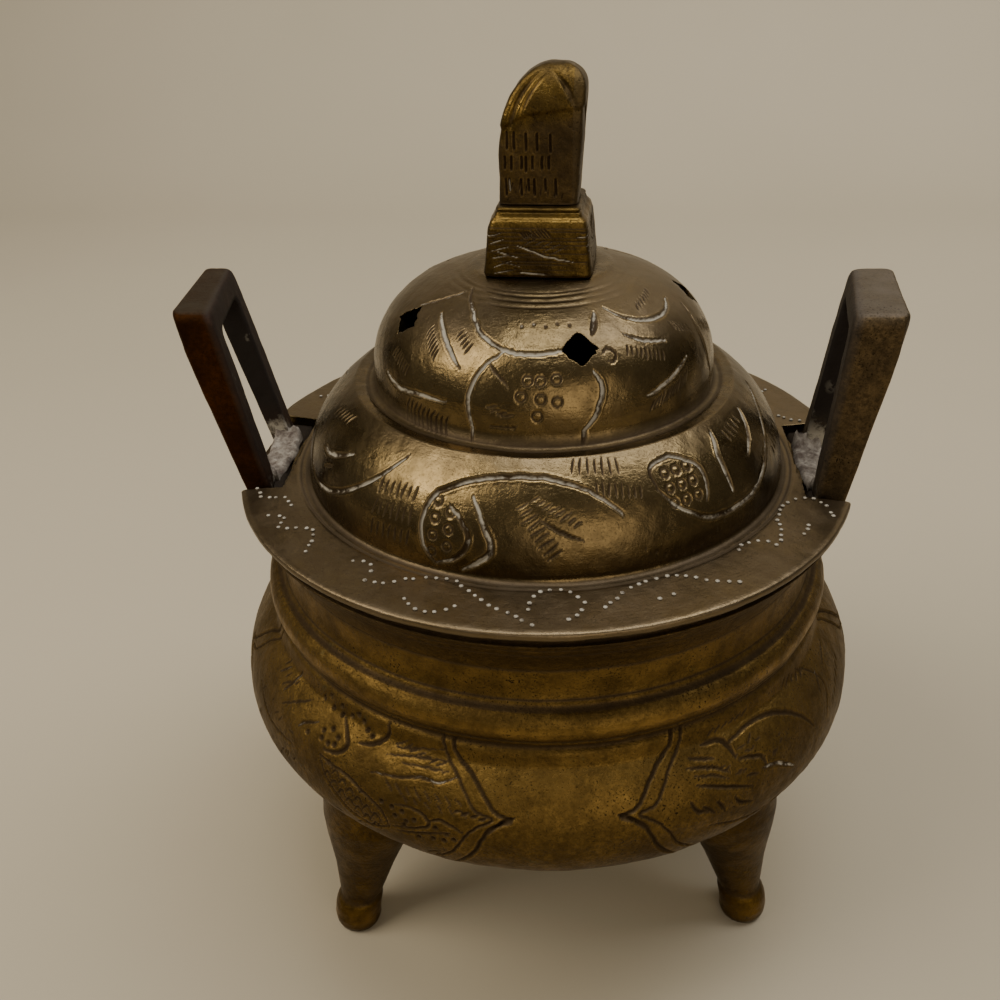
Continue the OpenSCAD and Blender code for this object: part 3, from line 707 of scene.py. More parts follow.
def bowl():
    skin = Skin(bowl_profile(), BEARINGS)
    equator = skin.arc_at(BELLY_R, BELLY_Z)
    for k, centre in enumerate((-39, 51, 141, 231)):
        skin.use(("belly", "neck"), equator, centre)
        cartouche(skin)
        (pea_pod_panel, fan_leaf_panel)[k % 2](skin)
    for drop, depth, half in ((20.2, 0.22, 0.4), (18.9, 0.14, 0.3), (14.0, 0.2, 0.35),
                              (13.2, 0.14, 0.28), (8.6, 0.14, 0.3), (4.6, 0.06, 0.25),
                              (3.0, 0.08, 0.25), (1.6, 0.12, 0.25)):
        skin.turned_line(RIM_Z - drop, half, depth, r_from=42)
    inside, neck = skin.names == "inside", skin.names == "neck"
    x, y, z = skin.places()
    casting = 0.10 * wobble(x, y, z, 23, 1) + 0.05 * wobble(x, y, z, 6, 2) - 0.15
    skin.push += ~inside[:, None] * casting
    drop = RIM_Z - skin.z
    bead = hump(drop, BEAD_DROP, 1.5) * (skin.r > 44.5) * neck
    skin.stain("wear_and_sheen", 0.8 * bead[:, None])
    # painted sheen: a brighter, smoother band round the middle of the recessed neck
    skin.stain("wear_and_sheen", (0.45 * hump(drop, NECK_DROP, 3) * ~inside)[:, None])
    # painted highlight: a brighter, smoother band round the upper belly under the bead
    skin.stain("wear_and_sheen", (0.35 * hump(skin.z, BELLY_Z + 10, 5) * ~inside)[:, None])
    skin.stain("soot_and_shade", SOOT * inside[:, None])
    # painted shade: a dark band along the top of the rim, where the lid's flange leaves a shadowed
    # gap
    skin.stain("cut", (hump(drop, 0.5, 0.8, 8) * neck)[:, None])
    seat = box_mm("leg_screws")[1][2] - SCREW_HEAD
    inner_floor = (inside & (skin.z < BELLY_Z))[:, None]
    for bearing in LEG_BEARINGS:
        pin = math.radians(bearing)
        away = np.hypot(x - LEG_PIN_R * math.sin(pin), y + LEG_PIN_R * math.cos(pin))
        pad = np.clip((LEG_PAD_R - away) / 1.4, 0, 1) * inner_floor
        skin.push += np.clip(seat - z, 0, 6) * pad
    finish_piece(skin.mesh("bowl_body"), BOWL_BRASS, "bowl", "bowl_brass", "bowl")


# ---- lid --------------------------------------------------------------------


def lid_profile():
    """The lid's closed outline: under the dome, the lip and flange, then the two tiers."""
    under_tier_z = TIER_Z - LID_WALL
    low_full = TIER_LOW_FULL - LID_WALL
    low_turn = math.degrees(math.asin(((under_tier_z - FLANGE_Z) / low_full) ** (TIER_POWER / 2)))
    inside = np.vstack([
        [(0, SEAT_IN_Z), (5.8, SEAT_IN_Z)],
        oval(TIER_TOP_R - LID_WALL, SEAT_IN_Z - under_tier_z, CROWN_POWER, under_tier_z, 78, 0, 16),
        oval(TIER_LOW_R - LID_WALL, low_full, TIER_POWER, FLANGE_Z, low_turn, 0, 12),
        [(LIP_IN_R, RIM_Z), (LIP_IN_R, LIP_Z + 0.3), (LIP_IN_R + 0.3, LIP_Z),
         (LIP_OUT_R - 0.3, LIP_Z), (LIP_OUT_R, LIP_Z + 0.3), (LIP_OUT_R, RIM_Z),
         (FLANGE_R - 0.7, RIM_Z)],
    ])
    edge = [(FLANGE_R - 0.7, RIM_Z), (FLANGE_R - 0.2, RIM_Z + 0.2), (FLANGE_R, RIM_Z + 0.6),
            (FLANGE_R, FLANGE_Z - 0.5), (FLANGE_R - 0.2, FLANGE_Z - 0.15),
            (FLANGE_R - 0.8, FLANGE_Z)]
    flange = [edge[-1], (TIER_LOW_R + 0.3, FLANGE_Z)]
    turn = math.degrees(math.asin((TIER_LOW_H / TIER_LOW_FULL) ** (TIER_POWER / 2)))
    low = oval(TIER_LOW_R, TIER_LOW_FULL, TIER_POWER, FLANGE_Z, 0, turn, 60)
    ledge = [low[-1], (TIER_TOP_R + 0.3, TIER_Z)]
    top = oval(TIER_TOP_R, TIER_TOP_H, CROWN_POWER, TIER_Z, 3, 71, 70)
    crown = [top[-1], (10.8, SEAT_Z - 0.5), (10.5, SEAT_Z - 0.1), (10, SEAT_Z), (0, SEAT_Z)]
    return [("inside", inside, 2.2), ("edge", edge, 0.25), ("flange", flange, 0.4),
            ("low", low, 0.26), ("ledge", ledge, 0.3), ("top", top, 0.26), ("crown", crown, 1.0)]


def lower_tier_engraving(skin):
    """Paisleys, hooks and dashes round half of the lower tier."""
    hatch = skin.hatch
    skin.strokes(
        (0.55, 0.4, 1.0, (-76, 9), (-73, 5.6), (-67, 3), (-60, 2.7), (-52, 4.1), (-44, 7),
         (-38, 10.1), (-33, 14)),
        (0.65, 0.4, 1.0, (-64, 8), (-58, 8.4), (-50, 10.6)),
        (0.35, 0.3, 0, (-60, 6), (-56, 7)),
        (0.6, 0.42, 0.6, (-20, 0.8), (-23, 3), (-24, 6.3), (-23, 9.1), (-20, 11.2), (-11, 13.4),
         (0, 14), (7, 13.2), (13, 11.8), (19, 8.8), (23, 5.4)),
        (0.55, 0.4, 0.9, (-18, 9), (-15, 7.4), (-13, 5), (-15, 2.4), (-20, 0.8)),
        (0.6, 0.42, 1.0, (-13, 10.7), (-10, 7.2), (-8, 3.9), (-11, 1.8), (-14, 0.6)),
        (0.4, 0.3, 0.4, (2, 8.3), (6, 6.7), (11, 5.3)),
        (0.5, 0.38, 0.6, (29, 10.4), (29, 13.4), (35, 14.3), (39, 13.2), (42, 11.5), (42, 9),
         (40.5, 6.8)),
        (0.55, 0.4, 0.9, (29, 10.4), (33, 7.4), (40, 4.6), (48, 3.9), (57, 4.3), (64, 6), (70, 8.4),
         (78, 11.4), (90, 14.4)),
        (0.6, 0.4, 1.0, (52, 15), (49, 10.9), (49, 6.2)),
        (0.55, 0.38, 0.9, (69, 14.7), (65, 11.6), (59, 9.1)),
    )
    for k in range(7):
        skin.punch((-21 + 3.4 * (k % 2), 9.3 - 1.15 * k), 0.18, 0.22, ring=0.6)
    for k in range(9):
        b, s = 32.3 + 3.2 * (k % 3), 12.2 - 2.1 * (k // 3)
        skin.punch((b, s), 0.18, 0.22, ring=0.62)
    for k in range(10):
        skin.punch((24 + 2.3 * k, 1.0 + 0.12 * k * (k - 9) + 2), 0.2, 0.12)
    hatch((-2, 10), (5, 3.6), 9, 2.4, 58, 0.24, 0.2, chalk=0.3)
    hatch((1, 11), (10, 7.6), 8, 1.6, 60)
    hatch((10, 15.4), (21, 14.6), 7, 2.4, 8, depth=0.22)
    hatch((15, 12), (25, 10.6), 8, 1.8, 6, depth=0.22)
    for k in range(3):
        hatch((-37, 9 - 3 * k), (-27, 9.4 - 3 * k), 7, 2.2, 4)
    hatch((-70, 13), (-60, 14), 6, 1.8, 20)
    hatch((56, 13.2), (64, 14), 5, 1.8, -12, depth=0.2, chalk=0.4)
    hatch((72, 6), (82, 7.6), 6, 1.8, -12)


def upper_tier_engraving(skin):
    """Petal curves, ring punches and feathering round half of the upper tier."""
    hatch = skin.hatch
    skin.strokes(
        (0.5, 0.36, 0.9, (-46, 22.6), (-31, 18.4), (-22, 15.2), (-13, 13.3), (-5, 12.6), (4, 12.7),
         (10, 13.2)),
        (0.5, 0.36, 0.8, (-11, 12.7), (-17, 10.3), (-20, 7.3), (-20.5, 5.3), (-19.5, 3.2),
         (-18, 1.4)),
        (0.52, 0.36, 0.9, (19, 9.8), (21, 8.1), (20.5, 6.2), (18, 3.7), (13, 1.2)),
        (0.5, 0.36, 1.0, (-46, 16.6), (-34, 12.8), (-25, 9.6)),
        (0.5, 0.34, 0.9, (-58, 5.2), (-50, 4.2), (-39, 4.6), (-28, 4.8)),
        (0.34, 0.26, 0.7, (-62, 16), (-54, 18.6), (-47, 21.6)),
        (0.5, 0.34, 0.8, (33, 19.2), (40, 16.4), (50, 15), (61, 15), (71, 16.4)),
        (0.42, 0.3, 0.5, (76, 14), (72, 10), (71, 6), (73, 1.6)),
        (0.42, 0.3, 0.9, (34, 14.2), (41, 12.4), (50, 11.4)),
        (0.45, 0.32, 0.9, (36, 5.1), (45, 6.1), (57, 8)),
        (0.65, 0.3, 1.0, (21.5, 15), (24, 16.4), (27, 18.6)),
        (0.3, 0.28, 0, (23, 12), (26, 12.6), (28, 11.6), (26.5, 10.6), (24.5, 11)),
    )
    for b, s in ((2, 9), (-4, 6.9), (7, 6.2), (1, 4.3), (-2, 9), (7, 9.2), (2, 6.6)):
        skin.punch((b, s), 0.16, 0.18, ring=0.66)
    for k in range(5):
        skin.punch((-6 + 5 * k, 17 + 0.4 * (k % 2)), 0.3, 0.16, chalk=0.5)
    hatch((-14, 10.4), (-9, 8.6), 5, 1.8, -35, depth=0.22, chalk=0.3)
    hatch((-13, 5.2), (-8, 4.2), 4, 1.6, 80, depth=0.22, chalk=0.3)
    hatch((-12, 2.6), (-6, 2.6), 4, 1.2, 80)
    hatch((-44, 13.6), (-36, 10.6), 7, 1.8, 10)
    hatch((-56, 8.6), (-46, 7.2), 8, 1.6, 20)
    hatch((-44, 2.8), (-28, 2.0), 10, 1.7, 30, depth=0.2, chalk=0.3)
    hatch((-30, 14.6), (-24, 12.6), 5, 1.6, 25)
    hatch((33, 11.8), (46, 9.6), 9, 1.4, 15)
    hatch((38, 3.6), (54, 5.4), 12, 2.2, 35, depth=0.24, chalk=0.3)
    hatch((58, 12.8), (66, 11), 6, 1.6, -10)
    hatch((50, 17.6), (66, 19), 7, 1.6, 40)
    hatch((76, 10), (86, 8), 6, 1.8, 20)


def vent_cutter(bearing):
    """A rough-edged diamond bar, pointed up the dome at one bearing."""
    corners = np.array([(-1, -1), (1, -1), (1, 1), (-1, 1), (-1, -1)]) * VENT_SIDE / 2
    edge = resample(corners, 0.6)[:-1]
    bar = prism("vent", edge + rng.normal(0, 0.14, edge.shape), -6, 6)
    lying = Matrix.Rotation(math.radians(90), 4, "X")
    height = TIER_Z + TIER_TOP_H * (1 - (VENT_R / TIER_TOP_R) ** CROWN_POWER) ** (1 / CROWN_POWER)
    spin = Matrix.Rotation(math.radians(45 + 4 * math.sin(bearing)), 4, "Y")
    tilt = Matrix.Rotation(math.radians(VENT_TILT), 4, "X")
    place = Matrix.Translation((0, VENT_R * MM, height * MM))
    turn = Matrix.Rotation(math.radians(bearing + 180), 4, "Z")
    bar.data.transform(turn @ place @ tilt @ spin @ lying)
    soot_and_shade = bar.data.attributes.new("soot_and_shade", "FLOAT", "POINT")
    soot_and_shade.data.foreach_set("value", [SOOT] * len(bar.data.vertices))
    return bar


def notch_cutters():
    """The two tapered notches that the handles stand in, widening towards the flange's edge."""
    out = FLANGE_R + 1
    wide = NOTCH_HALF + NOTCH_FLARE * (out - NOTCH_R)
    outline = np.array([(NOTCH_R, -NOTCH_HALF), (out, -wide), (out, wide), (NOTCH_R, NOTCH_HALF)])
    for side in (-1, 1):
        points = outline * (side, 1) - (0, HANDLE_FORWARD)
        yield prism("notch", points[::side], RIM_Z - 0.05, FLANGE_Z + 1)


def flange_chains():
    """Lines that the punched dots follow on the flange, as (bearing, radius)."""
    front = [
        [(-71, 45.4), (-67, 44.6), (-66, 42), (-62, 41.4)],
        [(-60, 45), (-58, 43), (-55, 44.6), (-51, 41), (-47, 42.6), (-45, 44.4)],
        [(-36, 41.4), (-33, 40.1), (-31, 41.6)],
        [(-30, 43.6), (-27, 42.8), (-22, 39.9), (-16, 38.6), (-12, 39.8), (-7, 42.4), (-2, 44.6),
         (1, 46)],
        [(-21, 44.4), (-19, 45.6), (-15, 45.8), (-12, 43.8)],
        [(0, 43), (0.5, 40.8), (3, 39), (7, 39.3), (9.5, 41.3), (9, 43.4), (6.5, 45)],
        [(13, 43.4), (16, 41.3), (20, 39.7), (26, 39.4), (30, 40.3), (33, 42.6), (37, 44.8)],
        [(23, 43.2), (25, 43)],
        [(44, 39.8), (47, 39.3), (50, 40.6), (51, 42.8), (55, 41.6), (59, 39.8), (64, 39.2),
         (68, 40.4), (70, 42.2), (68.5, 44.6), (65, 46.3)],
        [(57, 44.4), (60, 44)],
    ]
    arch_dots = ((-9, 44.8), (-6, 42), (0, 39.6), (6, 42), (9, 44.8))
    return front + [[(112 + 25 * k + b, r) for b, r in arch_dots] for k in range(6)]


def residue_dots():
    """Small domes of dried polish, one standing in each punched dot of the flange."""
    b = bmesh.new()
    for chain in flange_chains():
        path = smooth(chain)
        turn, r = np.radians(path[:, 0]), path[:, 1]
        xy = np.stack([r * np.sin(turn), -r * np.cos(turn)], -1)
        line = resample(xy, DOT_SPACING)
        for x, y in line + rng.normal(0, DOT_STRAY, line.shape):
            size = DOT_R + 0.08 * rng.random()
            dome = bmesh.ops.create_icosphere(b, subdivisions=1, radius=1)["verts"]
            bmesh.ops.scale(b, vec=(size * MM, size * MM, DOT_H * MM), verts=dome)
            bmesh.ops.translate(b, vec=(x * MM, y * MM, FLANGE_Z * MM), verts=dome)
    finish_piece(bmesh_object("flange_dots", b), CHALK, "lid", "solder")


def lid():
    skin = Skin(lid_profile(), BEARINGS)
    low, top, inside = (skin.names == name for name in ("low", "top", "inside"))
    for name, radius, height, engrave in (("low", TIER_LOW_R, FLANGE_Z, lower_tier_engraving),
                                          ("top", TIER_TOP_R, TIER_Z, upper_tier_engraving)):
        for centre in (0, 180):
            skin.use(name, skin.arc_at(radius, height), centre)
            engrave(skin)
    for r, depth in ((38.7, 0.22), (37.7, 0.3), (26.9, 0.22), (26.2, 0.3)):
        near = np.clip(1 - ((skin.r - r) / 0.38) ** 2, 0, 1)
        near = near * np.isin(skin.names, ("flange", "ledge"))
        skin.push -= depth * near[:, None] * (1 + 0.2 * np.sin(5 * np.radians(skin.bearings)))
        skin.stain("cut", 0.9 * near[:, None])
    for r in (11.6, 12.4, 13.6, 14.9):
        near = np.clip(1 - ((skin.r - r) / 0.3) ** 2, 0, 1) * top
        rings = near[:, None] * hump(skin.bearings, 0, 55)
        skin.push -= 0.14 * rings
        skin.stain("cut", 0.45 * rings)
    x, y, z = skin.places()
    outside = (~inside & (skin.r > 12))[:, None]
    skin.push += outside * (0.07 * wobble(x, y, z, 17, 3) + 0.03 * wobble(x, y, z, 5, 4) - 0.1)
    skin.stain("dull", 0.95 * np.isin(skin.names, ("edge", "flange"))[:, None])
    high = np.clip((skin.z - SEAT_Z + 7.5) / 4, 0, 1) * top
    skin.stain("dull", 0.85 * high[:, None] * (1 - 0.9 * hump(skin.bearings, 0, 26)))
    ledge = low * np.clip((skin.z - TIER_Z + 2.6) / 2.6, 0, 1)
    skin.stain("dull", 0.5 * ledge[:, None])
    crest = hump(skin.z, FLANGE_Z + 9.5, 3) * low + hump(skin.z, TIER_Z + 6, 3.5) * top
    skin.stain("wear_and_sheen", 0.3 * crest[:, None])
    skin.stain("soot_and_shade", SOOT * inside[:, None])
    piece = skin.mesh("lid_body")
    cut_out(piece, [vent_cutter(b) for b in VENT_BEARINGS] + list(notch_cutters()))
    finish_piece(piece, LID_BRASS, "lid", "lid_brass", "lid_shell")


# ---- legs -------------------------------------------------------------------


def belly_under(radius):
    """Height of the belly's underside at a distance from the axis."""
    ratio = np.clip(radius / BELLY_R, 0, 0.999)
    return BELLY_Z - BELLY_DROP * (1 - ratio**BELLY_POWER) ** (1 / BELLY_POWER)


def leg(name, bearing):
    """A tapered leg that leans in under the belly, with a narrow ankle and a rounded toe."""
    heights = [0, 0, 0.4, 1.4, 3, 5, 6.2, 6.9, 7.4, 8.2, 9.5, 12, 15.5, 19, 23, 27, 33, 40, 46]
    radii = [0, 3.2, 3.75, 4.1, 4.18, 4.2, 4.12, 3.8, 3.72, 3.9, 4.2, 4.75, 5.5, 6.5, 7.7,
             8.7, 9.4, 9.8, 10]
    outs = np.interp(heights, [0, 4, 7, 46], [42, 42, 40.9, 32.4])
    station = np.arange(len(heights))
    fine, z = resample(np.stack([station, heights], -1), 0.45).T
    r, out = np.interp(fine, station, radii), np.interp(fine, station, outs)
    angles = np.radians(np.arange(0, 360, 4))
    start = np.argmax(z > 20)
    count = len(z)
    share = np.clip((np.arange(count) - start) / (count - 1 - start), 0, 1)
    grid = np.zeros((count, len(angles), 3))
    for k, a in enumerate(angles):
        end = ROOT_Z
        for _ in range(30):    # closes in on where this side of the leg meets the belly
            rr, oo = np.interp(end, z[2:], r[2:]), np.interp(end, z[2:], out[2:])
            end = belly_under(math.hypot(rr * math.sin(a), oo + rr * math.cos(a))) + LEG_BURIED
        zz = np.where(share > 0, z[start] + (end - z[start]) * share, z)
        rr = np.where(share > 0, np.interp(zz, z[2:], r[2:]), r)
        oo = np.where(share > 0, np.interp(zz, z[2:], out[2:]), out)
        rr = rr - 0.35 * hump(zz, end - 0.5, 0.35) * (share > 0)
        grid[:, k] = np.stack([rr * math.sin(a), oo + rr * math.cos(a), zz], -1)
    top = grid[-1].mean(0)
    grid = np.concatenate([grid, top + (grid[-1:] - top) * 0.5,
                           np.repeat(top[None, None], len(angles), 1)])
    bump = wobble(*np.moveaxis(grid, -1, 0), 9, bearing)
    z = grid[..., 2]
    grid[..., 0] *= 1 + 0.012 * bump * np.clip(z / 3, 0, 1)
    seam = np.clip(1.1 - np.abs(z - z[-3] + 0.5) / 0.7, 0, 0.9) * (z > 20)
    stains = {
        "cut": np.maximum(seam, 0.7 * hump(z, 7.2, 0.6)),
        "chalk": np.zeros(z.shape),
        "wear_and_sheen": 0.8 * hump(z, 3.5, 2.2) + 0.2 * (bump > 0.2),
    }
    around = np.degrees(angles)[None, :]
    scratches = ((150, 18, 8, 5), (205, 14, -6, 4), (120, 26, 5, 4), (170, 11, 9, 3))
    for start_a, start_z, turn_a, length in scratches:
        t = np.clip((z - start_z) / length, 0, 1)
        centre = start_a + turn_a * t
        wide = np.radians(np.abs((around - centre + 180) % 360 - 180)) * 6
        mark = np.clip(1 - wide / 0.5, 0, 1) * (t > 0) * (t < 1)
        stains["chalk"] = np.maximum(stains["chalk"], mark)
    stains = {n: v[:, ::-1] for n, v in stains.items()}
    piece = grid_mesh(name, turned(grid[:, ::-1], bearing + 180), stains)
    finish_piece(piece, LEG_BRASS, "bowl", "leg_brass", name.replace("_cast", ""))


# ---- handles ----------------------------------------------------------------


def arch(width, top, radius, bottom):
    """An upside-down U seen along X, from one foot over the top to the other, as (y, z)."""
    side = width / 2
    turn = np.radians(np.linspace(0, 90, 12))[1:-1]
    up = [(-side, z) for z in np.linspace(bottom, top - radius, 44)]
    bend = [(-side + radius - radius * math.cos(a), top - radius + radius * math.sin(a))
            for a in turn]
    over = [(y, top) for y in np.linspace(-side + radius, 0, 10)]
    half = np.array(up + bend + over)
    return np.vstack([half, (half[:-1] * (-1, 1))[::-1]])


def handle(name, side, reach, thickness, material):
    """Two flat bars joined by a strap across the top, leaning outwards. side is -1 or 1.

    reach is how far out the outer face is, and thickness how thick the bars are, each at the
    front and back of the foot and then of the top.
    """
    node = name.replace("_cast", "")
    low, high = box_mm(node)
    bottom, top = low[2], high[2]
    width = high[1] - low[1]
    window = width - 2 * BAR_W
    outer = arch(width, top, 1.8, bottom)
    inner = arch(window, top - STRAP_H, 2.0, bottom)
    lift = np.clip((outer[:, 1] - bottom - 20) / 8, 0, 1)
    angle = np.radians(np.linspace(0, 360, SAMPLES, endpoint=False))

    def between(pair, share):
        return pair[0] + (pair[1] - pair[0]) * share

    rows = []
    for o, i, share in zip(outer, inner, lift):
        p, q = rounded_square(angle, 12 - 7 * share)
        length = np.concatenate([[0], np.cumsum(np.hypot(np.diff(p), np.diff(q)))])
        want = np.linspace(0, length[-1], BAR_COLUMNS, endpoint=False)
        p, q = np.interp(want, length, p), np.interp(want, length, q)
        y, z = (i + (o - i) * (p[:, None] + 1) / 2).T
        back, up = (y + width / 2) / width, (z - bottom) / (top - bottom)
        outer_x = between((between(reach[:2], back), between(reach[2:], back)), up)
        thick = between((between(thickness[:2], back), between(thickness[2:], back)), up)
        x = outer_x - thick * (1 - q) / 2
        corner = np.clip(1 - (width / 2 - np.abs(y)) / 2.2, 0, 1) ** 2
        corner = corner * np.clip((up - 0.8) * 5, 0, 1)
        rows.append(np.stack([x - 0.9 * corner * np.clip(q, 0, 1) ** 4, y, z, p, q], -1))
    grid = np.array(rows)
    grid = np.concatenate([grid[:1].mean(1, keepdims=True) + 0 * grid[:1], grid,
                           grid[-1:].mean(1, keepdims=True) + 0 * grid[-1:]])
    x, y, z, p, q = np.moveaxis(grid, -1, 0)
    worn = 0.05 * wobble(x, y, z, 11, side) + 0.03 * wobble(x, y, z, 3.1, 2) - 0.06
    x = x + worn * np.sign(q) * (np.abs(q) > 0.9)
    y = y + worn * np.sign(y) * np.sign(p) * (np.abs(p) > 0.9)
    inward = np.clip(-q - 0.55, 0, 0.4) / 0.4
    under = np.clip(-p - 0.55, 0, 0.4) / 0.4
    low_down = np.clip(1 - (z - bottom - 1) / 6, 0, 1)
    scrapes = 0.55 * np.clip(wobble(x, y, z, 13, side + 3) + 0.1, 0, 1)
    scrapes = scrapes * np.clip((z - bottom) / 8, 0, 1)
    stains = {
        # painted shade: the bars' inner faces, the faces across the gap between the bars and the
        # strap's underside are darkened, less near the foot
        "soot_and_shade": np.clip(0.75 * inward + under, 0, 1) * (1 - 0.6 * low_down),
        "chalk": np.maximum(0.8 * low_down, scrapes) * np.clip(inward * 0.5 + under, 0, 1),
        "wear_and_sheen": 0.5 * np.clip(np.minimum(np.abs(p), np.abs(q)) * 4 - 3.2, 0, 1),
        "cut": np.clip(1 - (z - bottom) / 0.5, 0, 1) * 0.9,
    }
    points = np.stack([side * x, y - HANDLE_FORWARD, z], -1)
    if side > 0:
        points = points[:, ::-1]
        stains = {key: value[:, ::-1] for key, value in stains.items()}
    piece = grid_mesh(name, points, stains)
    finish_piece(piece, material, "bowl", f"{node}_brass", node)


def solder():
    """Lumpy crust on the rim between each handle's bars, creeping up their inner faces."""
    low, high = box_mm("handle_solder")
    half = (high[1] - low[1]) / 2 + 0.6
    for name, side, x_in in (("solder_left", -1, 41.4), ("solder_right", 1, 40.6)):
        across, along = np.meshgrid(np.linspace(-1, 1, 25), np.linspace(-1, 1, 81), indexing="ij")
        x = x_in + 1.9 + 2.4 * across + 0.4 * wobble(0 * across, 7 * along, 0 * across, 9, 4)
        y = along * half - HANDLE_FORWARD
        climb = 2.4 * np.clip(np.abs(along) - 0.66, 0, 1) ** 2 / 0.34**2
        height = 0.6 + 0.3 * wobble(x, y, x * 0, 4.3, side) + 0.16 * wobble(x, y, x * 0, 1.5, 5)
        height += climb * (0.8 + 0.3 * wobble(x, y, x * 0, 2.2, 8))
        height = np.clip(height, 0.02, 4) * np.clip(1.6 * (1 - across**4), 0, 1)
        top = np.stack([side * x, y, RIM_Z + height], -1)
        base = np.stack([side * x, y, 0 * x + RIM_Z - 0.3], -1)
        points = np.concatenate([top.reshape(-1, 3), base.reshape(-1, 3)]) * MM
        index = np.arange(x.size).reshape(x.shape)
        faces = []
        rings = np.stack([index[:-1, :-1], index[1:, :-1], index[1:, 1:], index[:-1, 1:]], -1)
        for ring in rings.reshape(-1, 4).tolist():
            faces += [ring, [v + x.size for v in reversed(ring)]]
        border = np.concatenate([index[:, 0], index[-1, 1:], index[-2::-1, -1], index[0, -2:0:-1]])
        for p, q in zip(border.tolist(), np.roll(border, -1).tolist()):
            faces.append([q, p, p + x.size, q + x.size])
        mesh = bpy.data.meshes.new(name)
        mesh.from_pydata(points.tolist(), [], faces)
        b = bmesh.new()
        b.from_mesh(mesh)
        bmesh.ops.recalc_face_normals(b, faces=b.faces)
        b.to_mesh(mesh)
        b.free()
        finish_piece(new_object(name, mesh), CRUST, "bowl", "solder", "handle_solder")


# ---- finial -----------------------------------------------------------------


class Block(Relief):
    """An upright block with rounded rectangular sections, as rows up and columns round."""

    COLUMNS = 420

    def __init__(self, base, heights, left, right, front, back, square):
        angle = np.radians(np.linspace(0, 360, self.COLUMNS, endpoint=False))
        even = rounded_square(angle, square)
        length = np.cumsum(np.hypot(*(v - np.roll(v, 1) for v in even)))
        want = np.linspace(0, length[-1], self.COLUMNS, endpoint=False)
        p, q = rounded_square(np.interp(want, length, angle), square)
        sides = (left, right, front, back, heights)
        left, right, front, back, level = (np.asarray(v, float)[:, None] for v in sides)
        self.x = (left + right) / 2 + (right - left) / 2 * p
        self.y = (front + back) / 2 + (back - front) / 2 * q
        self.level = level + 0 * self.x
        self.z = base + self.level
        super().__init__(self.x.shape)

    def face(self, name):
        """Paths are now (distance to the right, height above the base) on that side."""
        u, v = ((w - w.mean(1, keepdims=True)) / (np.ptp(w, axis=1)[:, None] + 1e-6)
                for w in (self.x, self.y))
        across, on = {"front": (self.x, -v), "back": (-self.x, v),
                      "right": (self.y, u), "left": (-self.y, -u)}[name]
        self.across = np.where(on > FACE_EDGE, across, FAR)

    def window(self, path, margin):
        away = np.abs(self.level - path[:, 1].mean())
        rows = np.nonzero((away < np.ptp(path[:, 1]) / 2 + margin).any(1))[0]
        if not len(rows):
            return None
        return (rows,), self.across[rows], self.level[rows], np.ones((len(rows), 1)), 0.0

    def mesh(self, name):
        grid = np.stack([self.x, self.y, self.z], -1)
        ahead = np.gradient(grid, axis=0)
        around = np.roll(grid, -1, axis=1) - np.roll(grid, 1, axis=1)
        normal = np.cross(around, ahead)
        normal /= np.linalg.norm(normal, axis=-1, keepdims=True) + 1e-9
        grid = grid + normal * self.push[..., None]
        return grid_mesh(name, turned(grid, FINIAL_TURN), self.stains)


def pedestal():
    """Square tapered pedestal with a stepped top, scratched all over."""
    foot, shoulder, step = 15.4 / 2, 13.6 / 2, 12.4 / 2
    h = STEP_Z - SEAT_Z
    levels = [(0, 0.2), (0, foot - 0.5), (0.15, foot - 0.12), (0.5, foot), (6.6, shoulder + 0.25),
              (7.4, shoulder), (7.7, shoulder - 0.1), (7.9, shoulder - 0.35), (8.0, step + 0.25),
              (8.15, step), (8.7, step - 0.2), (8.85, step - 0.5), (9.0, 6.0), (h - 0.15, 5.85),
              (h, 5.6), (h, 0.2)]
    level, w = resample(levels, 0.14).T
    block = Block(SEAT_Z, level, -w, w, -w, w, 14.0)
    for name in ("front", "right", "back", "left"):
        block.face(name)
        block.hatch((-6, 6), (-4.4, 1), 6, 2.6, 74, 0.16, 0.14, chalk=0.8)
        block.hatch((-1.6, 5.6), (3, 4), 6, 2.4, 62, 0.14, 0.12, chalk=0.4)
        block.hatch((-2, 5.9), (1.4, 6.3), 9, 1.5, -48, 0.18, 0.2)
        block.stroke((-3, 4.6), (1, 3.2), (5, 2.4), half=0.2, depth=0.16, chalk=1.0)
        block.stroke((-5.6, 3.7), (-2.6, 2.9), half=0.17, depth=0.14, chalk=0.9)
        block.stroke((-5, 2.2), (-2.4, 1.7), half=0.17, depth=0.14, chalk=0.9)
        block.stroke((-2.4, 0.9), (1.8, 0.6), half=0.2, depth=0.14, chalk=1.0)
        for scratch in 0.8 + 0.55 * np.arange(12):
            end = scratch + rng.normal(0, 0.15)
            block.stroke((-7, scratch), (7, end), half=0.1, depth=0.05)
    block.push += 0.05 * wobble(block.x, block.y, block.z, 5, 3) - 0.05
    block.stain("wear_and_sheen", 0.8 * hump(block.level, 7.7, 0.5))
    block.stain("cut", 0.8 * hump(block.level, 0, 0.35))
    finish_piece(block.mesh("pedestal_cast"), FINIAL_BRASS, "lid", "finial_brass",
                 "finial_pedestal")


